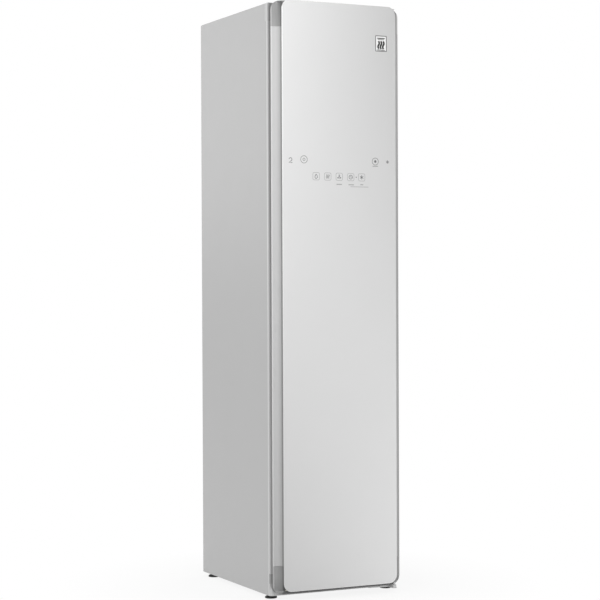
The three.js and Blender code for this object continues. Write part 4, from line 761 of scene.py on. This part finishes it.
def standing(outline: np.ndarray, y: float) -> np.ndarray:
    """Return an outline in X and Z as points in space at one Y."""
    return np.stack([outline[:, 0], np.full(len(outline), y), outline[:, 1]], -1)


def plate(outline: np.ndarray, back: float, front: float, round_by: float = 0.0, steps: int = 5) -> Skin:
    """A plate with an outline in X and Z whose front edge is rounded.

    The ring at angle a is inset by round_by * (1 - cos a) and stands round_by * (1 - sin a) behind the front.

    Args:
        outline: the anticlockwise outline.
        back: the Y of its back.
        front: the Y of its front.
        round_by: the radius of the front edge.
        steps: the steps of the rounding.

    Returns:
        The closed surface.
    """
    if not round_by:
        return Skin.of_rings(np.stack([standing(outline, back), standing(outline, front)]))
    toward = math.copysign(1.0, front - back)
    angles = np.linspace(0, math.pi / 2, steps + 1)
    rings = [standing(outline, back)]
    rings += [
        standing(inset(outline, round_by * (1 - math.cos(a))), front - toward * round_by * (1 - math.sin(a)))
        for a in angles
    ]
    return Skin.of_rings(np.stack(rings))


def band(outline: np.ndarray, width: float, back: float, front: float) -> Skin:
    """Make a strip along the inside of an outline in X and Z.

    Args:
        outline: the anticlockwise outline.
        width: the width of the strip.
        back: the Y of its back.
        front: the Y of its front.

    Returns:
        The closed surface: the outline and its inset, each at both depths.
    """
    inner = inset(outline, width)
    return Skin.of_rings(np.stack([
        standing(outline, back), standing(outline, front), standing(inner, front), standing(inner, back),
    ]), wrap=True)


def turned(profile: np.ndarray, steps: int = 48, axis: str = "Z") -> Skin:
    """A body of revolution: each point (r, h) of the profile runs round the axis at radius r and height h.

    Args:
        profile: the points from one end to the other.
        steps: the points in each ring.
        axis: the axis that it turns about, through the origin: Y or Z.

    Returns:
        The closed surface.
    """
    angles = np.linspace(0, 2 * math.pi, steps, endpoint=False)
    radius, height = profile[:, :1], profile[:, 1:]
    u, v, h = radius * np.cos(angles), radius * np.sin(angles), height * np.ones(steps)
    return Skin.of_rings(np.stack((u, h, v) if axis == "Y" else (u, v, h), -1))


def upright(profile: np.ndarray, low: float, high: float) -> Skin:
    """Return a profile in X and Y carried straight up from low to high."""
    rings = [np.column_stack([profile, np.full(len(profile), z)]) for z in (low, high)]
    return Skin.of_rings(np.stack(rings))


def make(name: str, skin: Skin, finish: Finish, node: str, replace: bool = False,
         sharp: float = EDGE_ANGLE, bevel: float = 0.0) -> None:
    """Put a surface into the scene as a finished piece.

    Args:
        name: the name of the piece.
        skin: its surface.
        finish: its finish.
        node: the CAD node that carries it, and whose body it shares.
        replace: whether it stands for that node.
        sharp: the angle in degrees from which an edge is shaded sharp.
        bevel: the width of a bevel on its sharp edges.
    """
    settle(skin.mesh(name), finish, node, replace, sharp, bevel)


def linked(name: str, data: bpy.types.ID) -> bpy.types.Object:
    """Make an object and link it to the scene.

    Args:
        name: its name.
        data: its mesh, lamp or camera.

    Returns:
        The object.
    """
    made = bpy.data.objects.new(name, data)
    bpy.context.scene.collection.objects.link(made)
    return made


def settle(mesh: bpy.types.Mesh, finish: Finish, node: str, replace: bool, sharp: float,
           bevel: float) -> None:
    """Make a piece of a mesh: shade it, dress it and seat it.

    Args:
        mesh: the mesh, whose name the piece takes.
        finish: its finish.
        node: the CAD node that carries it, and whose body it shares.
        replace: whether it stands for that node.
        sharp: the angle in degrees from which an edge is shaded sharp.
        bevel: the width of a bevel on its sharp edges.
    """
    piece = linked(mesh.name, mesh)
    mesh.polygons.foreach_set("use_smooth", np.ones(len(mesh.polygons), bool))
    mesh.set_sharp_from_angle(angle=math.radians(sharp))
    mesh.materials.clear()
    mesh.materials.append(finish.build())
    if bevel:
        edge = piece.modifiers.new("edge", "BEVEL")
        edge.width = bevel
        edge.segments = 2
        edge.limit_method = "ANGLE"
        edge.angle_limit = math.radians(sharp)
        edge.harden_normals = True
    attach(piece, BODY_OF[node])
    if replace:
        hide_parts(node)
    log.info("%s on %s: %d faces", piece.name, BODY_OF[node], len(mesh.polygons))


def refine(finish: Finish, bevel: float, *nodes: str, sharp: float = EDGE_ANGLE) -> None:
    """Replace CAD nodes by copies with merged points, whole flat faces, broken edges and smooth bends.

    Args:
        finish: their finish.
        bevel: the width of their broken edges.
        nodes: the names of the nodes.
        sharp: the angle in degrees from which an edge counts as one.
    """
    for node in nodes:
        work = bmesh.new()
        work.from_mesh(frame["nodes"][node].data)
        bmesh.ops.remove_doubles(work, verts=work.verts, dist=MERGE_REACH)
        angle = math.radians(FLAT_ANGLE)
        bmesh.ops.dissolve_limit(work, angle_limit=angle, verts=work.verts, edges=work.edges)
        mesh = bpy.data.meshes.new(node + "_finished")
        work.to_mesh(mesh)
        work.free()
        settle(mesh, finish, node, True, sharp, bevel)


def dress(finish: Finish, *nodes: str) -> None:
    """Give CAD nodes a finish and leave their shape as it is.

    Args:
        finish: their finish.
        nodes: the names of the nodes.
    """
    for node in nodes:
        mesh = frame["nodes"][node].data
        if not mesh.materials:
            mesh.materials.append(None)
        for place in range(len(mesh.materials)):
            mesh.materials[place] = finish.build()
        log.info("%s dressed in %s", node, finish.name)


def screw_head(radius: float = 3.6 * MM, height: float = 1.2 * MM, recess: float = 0.45,
               recess_depth: float = 0.6) -> Skin:
    """Return the pan head of a screw with its back at Y 0, facing +Y, with a round recess.

    Its surface is a dome: y = height * (1 - (r / radius)^4), less the recess where r is small.

    Args:
        radius: the radius of the head.
        height: its height.
        recess: the radius of the recess as a share of the head's.
        recess_depth: the depth of the recess as a share of the head's height.

    Returns:
        The closed surface.
    """
    share = np.linspace(1.0, 0.06, 9)
    dome = height * (1 - share ** 4)
    dip = np.where(share < recess, height * recess_depth * (1 - share / recess), 0.0)
    return turned(np.column_stack([share * radius, dome - dip]), 20, "Y")


@dataclass
class PhotoCamera:
    """The camera, at the place and the angles that the photograph was taken from."""

    place: Colour = (-2.5114, -5.1566, 0.9753)
    yaw: float = 25.985
    pitch: float = -0.507
    roll: float = -0.232
    lens: float = 105.364
    sensor: float = 36.0

    def build(self) -> None:
        """Make the camera and look through it.

        Its forward line is turned by yaw about Z and by pitch above the level, its picture by roll about it.
        """
        yaw, pitch, roll = (math.radians(angle) for angle in (self.yaw, self.pitch, self.roll))
        forward = Vector((math.sin(yaw) * math.cos(pitch), math.cos(yaw) * math.cos(pitch), math.sin(pitch)))
        right = Vector((math.cos(yaw), -math.sin(yaw), 0.0))
        up = right.cross(forward)
        across = right * math.cos(roll) + up * math.sin(roll)
        rise = up * math.cos(roll) - right * math.sin(roll)
        turn = Matrix((across, rise, -forward)).transposed().to_4x4()
        lens = bpy.data.cameras.new("photo_camera")
        lens.lens = self.lens
        lens.sensor_width = self.sensor
        camera = linked("photo_camera", lens)
        camera.matrix_world = Matrix.Translation(self.place) @ turn
        bpy.context.scene.camera = camera


@dataclass
class Studio:
    """A pale floor, a white surround and soft lamps."""

    floor_hub: float = 0.02
    floor_radius: float = 9.0
    floor_depth: float = 0.01
    floor_drop: float = 0.2 * MM
    floor_colour: float = 0.9
    floor_mottle: float = 0.01
    mottle_size: float = 0.4
    shadow_share: float = 0.14
    shadow_span: Pair = (0.35, 0.8)
    surround: float = 0.6
    lamps: dict[str, tuple[Colour, Colour, float, float]] = field(default_factory=lambda: {
        "front_left": ((-4.0, -3.4, 1.9), (0.0, 0.0, 0.9), 2.6, 50.0),
        "front": ((0.0, -5.0, 2.0), (0.0, 0.0, 0.9), 1.8, 36.0),
        "front_right": ((4.6, -2.2, 2.4), (0.0, 0.0, 1.0), 2.0, 12.0),
        "top": ((0.4, 0.6, 4.6), (0.0, 0.0, 0.9), 2.6, 34.0),
        "rear": ((-2.4, 4.2, 2.4), (0.0, 0.0, 0.9), 2.4, 40.0),
    })

    def build(self) -> None:
        """Make the floor, the surround and the lamps."""
        self.build_floor()
        self.build_world()
        for name, (place, aim, size, power) in self.lamps.items():
            self.build_lamp(name, place, aim, size, power)

    def build_floor(self) -> None:
        """Make the floor, with a shade near the cabinet that fades into the white surround."""
        hub, rim, depth = self.floor_hub, self.floor_radius, self.floor_depth
        profile = np.array([[hub, 0.0], [rim, 0.0], [rim, -depth], [hub, -depth]])
        mesh = turned(profile, 96).moved(z=-self.floor_drop).mesh("studio_floor")
        material = bpy.data.materials.new("studio_floor")
        material.use_nodes = True
        bench = Bench(material.node_tree)
        away = bench.node("ShaderNodeVectorMath", {"operation": "LENGTH"}, {0: bench.place()}, "Value")
        share = away.span(*self.shadow_span, 1.0 - self.shadow_share, 1.0)
        low, high = self.floor_colour - self.floor_mottle, self.floor_colour + self.floor_mottle
        cloud = bench.noise(self.mottle_size).span(*NOISE_RANGE, low, high)
        tone = bench.node("ShaderNodeCombineColor", {}, {0: cloud, 1: cloud, 2: cloud})
        matt = bench.node("ShaderNodeBsdfDiffuse", {}, {"Color": tone})
        white = bench.node("ShaderNodeEmission", {}, {"Color": (1, 1, 1, 1), "Strength": 1.0})
        mixed = bench.node("ShaderNodeMixShader", {}, {0: bench.seen() * share, 1: matt, 2: white})
        bench.node("ShaderNodeOutputMaterial", {}, {"Surface": mixed})
        mesh.materials.append(material)
        floor = linked("studio_floor", mesh)

    def build_world(self) -> None:
        """Make the surround: white where it is seen or mirrored, and softer as a light."""
        world = bpy.data.worlds.new("studio")
        world.use_nodes = True
        bench = Bench(world.node_tree)
        strength = bench.seen() * (1 - self.surround) + self.surround
        sky = bench.node("ShaderNodeBackground", {}, {"Color": (1, 1, 1, 1), "Strength": strength})
        bench.node("ShaderNodeOutputWorld", {}, {"Surface": sky})
        bpy.context.scene.world = world

    def build_lamp(self, name: str, place: Colour, aim: Colour, size: float, power: float) -> None:
        """Hang one square lamp.

        Args:
            name: its name.
            place: where it hangs.
            aim: the point that it faces.
            size: its side.
            power: its power in watts.
        """
        light = bpy.data.lights.new(name, "AREA")
        light.shape = "SQUARE"
        light.size = size
        light.energy = power
        toward = Vector(aim) - Vector(place)
        turn = toward.to_track_quat("-Z", "Y").to_matrix().to_4x4()
        linked(name, light).matrix_world = Matrix.Translation(place) @ turn


@dataclass
class Pictograms:
    """Small printed or moulded signs, drawn as strokes in a square from -0.5 to 0.5."""

    line: float = 0.09

    def strokes(self, mark: Mark) -> list[np.ndarray]:
        """The outlines that make up one sign.

        Args:
            mark: which sign.

        Returns:
            Closed outlines; each is a line of constant width, or a wave whose sideways run is a sine.
        """
        if mark is Mark.HANGER:
            lines = [arc(0.0, 0.27, 0.11, 200, -60, 12), [[0.0, 0.18], [0.0, 0.08]],
                     [[-0.42, -0.22], [0.0, 0.08], [0.42, -0.22]], [[-0.42, -0.24], [0.42, -0.24]]]
        elif mark is Mark.STEAM:
            rise = np.linspace(-0.38, 0.38, 17)
            lines = [np.column_stack([x + 0.07 * np.sin(rise * 9), rise]) for x in (-0.26, 0.0, 0.26)]
        elif mark is Mark.STAR:
            ends = [(0.42 * math.cos(a), 0.42 * math.sin(a)) for a in np.radians([90, 30, -30])]
            lines = [[[-x, -z], [x, z]] for x, z in ends]
        elif mark is Mark.DROP:
            around = np.linspace(0.06, 1.94, 33) * math.pi
            width = 0.27 * np.sin(around) * np.sin(around / 2)
            lines = [np.column_stack([width * 1.25, 0.42 * np.cos(around)])]
        elif mark is Mark.CLOCK:
            lines = [arc(0.0, 0.0, 0.38, 90, 444, 30), [[0.0, 0.24], [0.0, 0.0], [0.18, -0.06]]]
        else:
            lines = [np.concatenate([arc(0.0, 0.17, 0.27, 165, -35, 14), [[-0.32, -0.4], [0.34, -0.4]]])]
        return [stroke(np.asarray(line, float), self.line) for line in lines]

    def skins(self, mark: Mark, x: float, z: float, size: float, back: float, front: float) -> list[Skin]:
        """Return one sign about (x, z) as thin plates from back to front in Y, in a square of the size."""
        centre = np.array([x, z])
        return [plate(outline * size + centre, back, front) for outline in self.strokes(mark)]


@dataclass
class Assembly:
    """A sub-assembly. Its looks are rows of a finish, a bevel in millimetres and the nodes that get them.

    A bevel of None leaves the nodes their own shape.
    """

    looks: Looks = ()

    def build(self) -> None:
        """Refine or dress the nodes of each look."""
        for finish, bevel, nodes in self.looks:
            if bevel is None:
                dress(finish, *nodes.split())
            else:
                refine(finish, bevel * MM, *nodes.split())


@dataclass
class CabinetCase(Assembly):
    """The sheet case with its trims, its feet and the screws at the back."""

    looks: Looks = (
        (CASE_PAINT, 0.5, "side_panel_left side_panel_right top_panel"),
        (TRIM_SILVER, 0.4, "top_trim"),
        (KICK_SILVER, 0.4, "kick_trim"),
        (SHEET_STEEL, 0.25, "rear_panel rear_service_cover"),
        (SHEET_STEEL, None, "base_tray"),
        (DARK_PLASTIC, 0.3, "mains_inlet"),
    )
    pad_radius: float = 19 * MM
    pad_edge: float = 3.2 * MM
    pad_edge_radius: float = 1.2 * MM
    pad_edge_inset: float = 1.4 * MM
    pad_top: float = 6.4 * MM
    band_radius: float = 13 * MM
    band_edge_radius: float = 0.6 * MM
    band_top: float = 9.4 * MM
    neck_radius: float = 9 * MM
    neck_top: float = 11.3 * MM
    thread_radius: float = 3.8 * MM
    thread_depth: float = 0.2 * MM
    thread_pitch: float = 1.25 * MM
    core_radius: float = 0.4 * MM
    screw_rows: tuple[float, ...] = (0.45, 0.9, 1.35, 1.8)
    cover_screw_rows: tuple[float, ...] = (0.04, 0.21, 0.38)
    screw_inset: float = 9 * MM

    def build(self) -> None:
        """Dress the case, then make its screws and its feet."""
        super().build()
        self.build_screws()
        for node in ("foot_front_left", "foot_front_right", "foot_rear_left", "foot_rear_right"):
            self.build_foot(node)

    def build_screws(self) -> None:
        """Make the pan-head screws along both edges of the rear panel and its service cover."""
        for node, rows in (("rear_panel", self.screw_rows), ("rear_service_cover", self.cover_screw_rows)):
            low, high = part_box(node)
            places = [(x, z) for z in rows for x in (low.x + self.screw_inset, high.x - self.screw_inset)]
            heads = [screw_head().moved(x, high.y, z) for x, z in places]
            make(node + "_screws", Skin.joined(heads), FORGED_STEEL, node, sharp=50)

    def build_foot(self, node: str) -> None:
        """Make one levelling foot: a rubber pad under a moulded band, a neck and a threaded stud.

        The thread's radius is a sine of its height.

        Args:
            node: the foot's node.
        """
        low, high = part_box(node)
        x, y = (low.x + high.x) / 2, (low.y + high.y) / 2
        dome = np.linspace(0.0, math.pi / 2, 7)
        edge, top = self.pad_edge_radius, self.pad_top
        rubber = np.concatenate([
            [[self.core_radius, 0.0], [self.pad_radius - self.pad_edge_inset, 0.0]],
            arc(self.pad_radius - edge, edge, edge, -80, 0, 5),
            np.column_stack([self.band_radius + (self.pad_radius - self.band_radius) * np.cos(dome),
                             self.pad_edge + (top - self.pad_edge) * np.sin(dome)]),
            [[self.core_radius, top]],
        ])
        heights = np.linspace(self.neck_top, high.z, 90)
        thread = self.thread_radius + self.thread_depth * np.sin(heights * 2 * math.pi / self.thread_pitch)
        edge = self.band_edge_radius
        collar = np.concatenate([
            [[self.core_radius, top], [self.band_radius, top]],
            arc(self.band_radius - edge, self.band_top - edge, edge, 0, 90, 4),
            [[self.neck_radius, self.band_top], [self.neck_radius, self.neck_top]],
            np.column_stack([thread, heights]),
            [[self.core_radius, high.z]],
        ])
        make(node + "_pad", turned(rubber).moved(x, y), FOOT_RUBBER, node, replace=True)
        make(node + "_collar", turned(collar).moved(x, y), FOOT_BAND, node, replace=True)


@dataclass
class DoorFront:
    """The glass face with its printed controls and its plate, between the two grip rails.

    A ring or dot is given by X and radius, a sign by X, Z and size, a legend by its ends in X, Z and height,
    and a bar of the plate by its rise above the plate's foot, its height and its distance from the sides.
    """

    bevel: float = 1.1 * MM
    face_drop: float = 0.08 * MM
    print_depth: float = 0.05 * MM
    corner_radius: float = 27 * MM
    key: float = 24 * MM
    key_radius: float = 5 * MM
    key_line: float = 1.3 * MM
    key_row: float = 1310 * MM
    key_sign_share: float = 0.66
    keys: tuple[tuple[Mark, float], ...] = (
        (Mark.DROP, -83.2 * MM), (Mark.STEAM, -42.9 * MM), (Mark.HANGER, -2.8 * MM), (Mark.CLOCK, 37.6 * MM),
        (Mark.STAR, 76.2 * MM))
    key_dot: Pair = mm(57, 1.9)
    dial_row: float = 1361 * MM
    dial_line: float = 1.5 * MM
    dials: tuple[Pair, ...] = (mm(-125, 12), mm(124.8, 11.7), mm(-125, 4.6))
    dial_dot: Pair = mm(124.8, 4.2)
    side_signs: tuple[tuple[Mark, float, float, float], ...] = (
        (Mark.TWO, *mm(-171, 1357, 18)), (Mark.STAR, *mm(168.5, 1360.7, 14)))
    legend_round: float = 0.45
    legends: tuple[tuple[float, float, float, float], ...] = (
        mm(-12.7, 6.6, 1286.5, 3), mm(29.4, 48.8, 1286, 3), mm(70.7, 81.7, 1287, 3),
        mm(114.7, 134.4, 1346, 3), mm(36.4, 100, 1280, 1.6))
    badge_x: Pair = mm(126.4, 167.1)
    badge_z: Pair = mm(1707.4, 1757.6)
    badge_radius: float = 2.5 * MM
    badge_depth: float = 0.07 * MM
    badge_line: float = 2.4 * MM
    badge_sign: float = 32 * MM
    badge_sign_rise: float = 20.5 * MM
    badge_round: float = 0.4
    badge_bars: tuple[tuple[float, float, float], ...] = (
        mm(41.6, 3.2, 6.5), mm(37.6, 1.8, 9), mm(4.8, 2.2, 6.5))
    board_signs: Pictograms = field(default_factory=lambda: Pictograms(0.115))
    badge_signs: Pictograms = field(default_factory=lambda: Pictograms(0.19))
    face: float = field(init=False)
    film: Pair = field(init=False)

    def build(self) -> None:
        """Make the glass and what is printed on it."""
        low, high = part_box("door_glass")
        self.face = low.y + self.face_drop
        self.film = (self.face + self.print_depth, self.face - self.print_depth)
        outline = rounded(low.x, high.x, low.z, high.z, self.corner_radius, 24)
        skin = plate(outline, high.y, self.face, self.bevel, 6)
        make("door_glass_pane", skin, GLASS_FACE, "door_glass", replace=True, sharp=60)
        self.build_controls()
        self.build_badge()

    def sheet(self, outline: np.ndarray) -> Skin:
        """Return a printed film of the given outline on the face."""
        return plate(outline, *self.film)

    def ring(self, outline: np.ndarray, width: float) -> Skin:
        """Return a printed line along an outline on the face."""
        return band(outline, width, *self.film)

    def signs(self, mark: Mark, x: float, z: float, size: float) -> list[Skin]:
        """Return one printed pictogram on the face."""
        return self.board_signs.skins(mark, x, z, size, *self.film)

    def build_controls(self) -> None:
        """Print the two dials, the row of five keys and the legends under them."""
        dark = [self.ring(circle(x, self.dial_row, radius), self.dial_line) for x, radius in self.dials]
        x, radius = self.dial_dot
        dark.append(self.sheet(circle(x, self.dial_row, radius)))
        for mark, x, z, size in self.side_signs:
            dark += self.signs(mark, x, z, size)
        pale: list[Skin] = []
        half, row = self.key / 2, self.key_row
        for mark, x in self.keys:
            outline = bar(x - half, x + half, row, self.key, self.key_radius, 10)
            pale.append(self.ring(outline, self.key_line))
            dark += self.signs(mark, x, row, self.key * self.key_sign_share)
        x, radius = self.key_dot
        dark.append(self.sheet(circle(x, row, radius)))
        for x0, x1, z, height in self.legends:
            pale.append(self.sheet(bar(x0, x1, z, height, height * self.legend_round)))
        make("control_signs", Skin.joined(dark), INK, "door_glass")
        make("control_frames", Skin.joined(pale), PALE_INK, "door_glass")

    def build_badge(self) -> None:
        """Put the small white plate with a steam sign and a few bars at the top right."""
        (x0, x1), (z0, z1) = self.badge_x, self.badge_z
        outline = rounded(x0, x1, z0, z1, self.badge_radius, 6)
        make("badge_plate", self.sheet(outline), LABEL, "door_glass")
        front = self.face - self.badge_depth
        make("badge_edge", band(outline, self.badge_line, self.face, front), LABEL_EDGE, "door_glass")
        sign = self.badge_signs.skins(
            Mark.STEAM, (x0 + x1) / 2, z0 + self.badge_sign_rise, self.badge_sign, self.face, front)
        for rise, height, margin in self.badge_bars:
            line = bar(x0 + margin, x1 - margin, z0 + rise, height, height * self.badge_round, 2)
            sign.append(plate(line, self.face, front))
        make("badge_sign", Skin.joined(sign), BLACK_INK, "door_glass")


@dataclass
class GripRails:
    """The two cove rails beside the glass and the caps that close their ends."""

    inset: float = 30 * MM
    rim: float = 4 * MM
    cove: float = 13.5 * MM
    land: float = 8 * MM
    wall: float = 2.5 * MM
    bevel: float = 0.3 * MM
    cap_bevel: float = 0.35 * MM
    sharp: float = 40.0

    def build(self) -> None:
        """Make the rails and refine the caps."""
        # the left rail gets the lit copy of the silver and the right rail the shaded copy: painted light and
        # shade
        self.build_rail(-1, "grip_rail_left", RAIL_SILVER_LIT)
        self.build_rail(1, "grip_rail_right", RAIL_SHADED)
        refine(CAP_SILVER, self.cap_bevel, "door_cap_top", "door_cap_bottom", sharp=self.sharp)

    def build_rail(self, side: int, node: str, finish: Finish) -> None:
        """Make one rail: a flat rim, a quarter ellipse, a wall towards the glass and a land behind it.

        The cove is x = start - width * sin(a), y = base + cove * cos(a) for a from 0 to 90 degrees.

        Args:
            side: -1 on the left, 1 on the right.
            node: the rail's node.
            finish: its finish.
        """
        low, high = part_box(node)
        rim_x, front = max(abs(low.x), abs(high.x)), low.y
        rim_y = high.y - self.wall
        angles = np.radians(np.linspace(0, 90, 29))
        start, width = rim_x - self.rim, self.inset - self.rim
        cove = np.column_stack([
            start - width * np.sin(angles),
            rim_y - self.cove + self.cove * np.cos(angles),
        ])
        face = np.concatenate([
            [[rim_x, rim_y]], cove, [[rim_x - self.inset, front], [rim_x - self.inset - self.land, front]],
        ])
        back = np.concatenate([
            [[rim_x, high.y]],
            np.column_stack([
                start - (width + self.wall) * np.sin(angles[3:]),
                rim_y - self.cove + (self.cove + self.wall) * np.cos(angles[3:]),
            ]),
            [[rim_x - self.inset - self.wall, front + self.wall],
             [rim_x - self.inset - self.land, front + self.wall]],
        ])
        profile = np.concatenate([face, back[::-1]])
        profile[:, 0] *= side
        make(node + "_profile", upright(profile, low.z, high.z), finish, node, True, self.sharp, self.bevel)


@dataclass
class DoorBack(Assembly):
    """The inside of the door: panel, gasket, trouser press and hinges."""

    looks: Looks = (
        (DOOR_SHELL, 0.6, "door_inner_panel"),
        (PRESS, 0.5, "press_flap"),
        (TRIM_SILVER, 0.6, "press_release_button"),
        (FORGED_STEEL, 0.3, "hinge_upper hinge_lower"),
        (FOAM, None, "door_core"),
        (BOARD, None, "touch_board"),
    )
    gasket_width: float = 14 * MM
    gasket_radius: float = 24 * MM
    foot_radius: float = 1 * MM
    foot_inset: float = 0.4 * MM
    bellows_shares: tuple[Pair, ...] = ((0.68, 0.36), (0.66, 0.6), (0.9, 0.7))
    lip_share: float = 0.42
    lip_rise: float = 1.4 * MM

    def build(self) -> None:
        """Dress the inside of the door and make the gasket."""
        super().build()
        self.build_gasket()

    def build_gasket(self) -> None:
        """Make the gasket: a foot, a bellows and a soft lip carried round the door.

        At path point p with outward normal n, profile point (u, y) lies at p - n * u, and at y.
        """
        low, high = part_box("door_seal")
        path = rounded(low.x, high.x, low.z, high.z, self.gasket_radius, 14)
        width, radius = self.gasket_width, self.foot_radius
        bellows = [(width * u, low.y + (high.y - low.y) * y) for u, y in self.bellows_shares]
        turns = np.radians(np.linspace(12, 168, 19))
        lip_y = high.y - self.lip_rise * (1 - np.sin(turns))
        profile = np.concatenate([
            [[self.foot_inset, low.y], [width - self.foot_inset, low.y]],
            arc(width - radius, low.y + radius, radius, -80, 90, 6),
            bellows,
            np.column_stack([width * (0.5 + self.lip_share * np.cos(turns)), lip_y]),
            [(width - u, y) for u, y in bellows[::-1]],
            arc(radius, low.y + radius, radius, 90, 260, 6),
        ])
        rings = [np.insert(inset(path, u), 1, y, axis=1) for u, y in profile]
        skin = Skin.of_rings(np.stack(rings), wrap=True)
        make("door_gasket", skin, GASKET, "door_seal", replace=True, sharp=50)


@dataclass
class Chamber(Assembly):
    """The garment room: liners, nozzle, lamp, shelf, filter and aroma case."""

    looks: Looks = (
        (LINER, 0.5, "liner_left liner_right liner_rear liner_ceiling liner_floor"),
        (DARK_PLASTIC, 0.4, "steam_nozzle"),
        (LAMP, 0.6, "lamp_lens"),
        (LINER, 0.6, "garment_shelf"),
        (FILTER_MESH, 0.5, "lint_filter"),
        (AROMA, 0.6, "aroma_case"),
    )


@dataclass
class WaterTanks(Assembly):
    """The bay below the room, with the supply tank and the drain tank."""

    looks: Looks = (
        (LINER, 0.6, "tank_bay"),
        (TANK, 0.6, "supply_tank drain_tank"),
        (DARK_PLASTIC, 0.5, "supply_tank_lid drain_tank_lid"),
    )
    mark_pitch: float = 22 * MM
    mark_count: int = 6
    mark_inset: float = 26 * MM
    mark_start: float = 0.2
    mark_lengths: Pair = mm(15, 9)
    mark_height: float = 1.4 * MM
    mark_radius: float = 0.4 * MM
    sunk: float = 0.2 * MM
    raised: float = 0.12 * MM
    sign_shift: float = 18 * MM
    sign_size: float = 26 * MM
    tank_signs: Pictograms = field(default_factory=Pictograms)

    def build(self) -> None:
        """Dress the bay and the tanks, and mould the level marks."""
        super().build()
        for node in ("supply_tank", "drain_tank"):
            self.build_marks(node)

    def build_marks(self, node: str) -> None:
        """Mould level bars, longer at every second one, and a drop sign on the front of a tank.

        Args:
            node: the tank's node.
        """
        low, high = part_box(node)
        x = low.x + self.mark_inset
        back, front = low.y + self.sunk, low.y - self.raised
        rows = low.z + self.mark_start * (high.z - low.z) + self.mark_pitch * np.arange(self.mark_count)
        skins = [
            plate(bar(x, x + self.mark_lengths[row % 2], z, self.mark_height, self.mark_radius, 2),
                  back, front)
            for row, z in enumerate(rows)
        ]
        middle = (low.x + high.x) / 2 + self.sign_shift
        skins += self.tank_signs.skins(
            Mark.DROP, middle, (low.z + high.z) / 2, self.sign_size, back, front)
        make(node + "_marks", Skin.joined(skins), INK, node)


@dataclass
class MovingHanger(Assembly):
    """The shaking bar under the ceiling and the belt drive above it."""

    looks: Looks = (
        (LINER, 0.5, "hanger_bar"),
        (DARK_PLASTIC, 0.5, "hanger_carriage"),
        (SHEET_STEEL, 0.25, "drive_plate"),
        (FORGED_STEEL, 0.3, "crank_arm"),
        (DARK_PLASTIC, 0.2, "crank_pulley motor_pulley"),
        (BELT, 0.15, "drive_belt"),
        (MOTOR_GREY, 0.4, "hanger_motor"),
        (DARK_PLASTIC, 0.5, "control_box"),
    )


@dataclass
class SteamMachine(Assembly):
    """The heat pump, the blower and the boiler behind the tanks."""

    looks: Looks = (
        (COMPRESSOR_PAINT, 0.6, "compressor"),
        (FINS, None, "evaporator condenser"),
        (SHEET_STEEL, 0.25, "coil_tray"),
        (BLOWER, 0.5, "blower_housing"),
        (BLOWER, None, "fan_wheel"),
        (MOTOR_GREY, 0.4, "fan_motor"),
        (BOILER, 0.4, "steam_generator"),
        (HOSE, 0.0, "steam_pipe"),
        (DARK_PLASTIC, 0.4, "water_pump"),
    )


def plain_view() -> None:
    """Use the Standard view transform, and leave the other view settings as they are."""
    bpy.context.scene.view_settings.view_transform = "Standard"


def main() -> None:
    """Build the camera, the studio and every sub-assembly in order."""
    logging.basicConfig(level=logging.INFO, format="%(message)s")
    plain_view()
    PhotoCamera().build()
    Studio().build()
    for assembly in (CabinetCase(), DoorFront(), GripRails(), DoorBack(), Chamber(), WaterTanks(),
                     MovingHanger(), SteamMachine()):
        log.info("building %s", type(assembly).__name__)
        assembly.build()


if __name__ == "__main__":
    main()
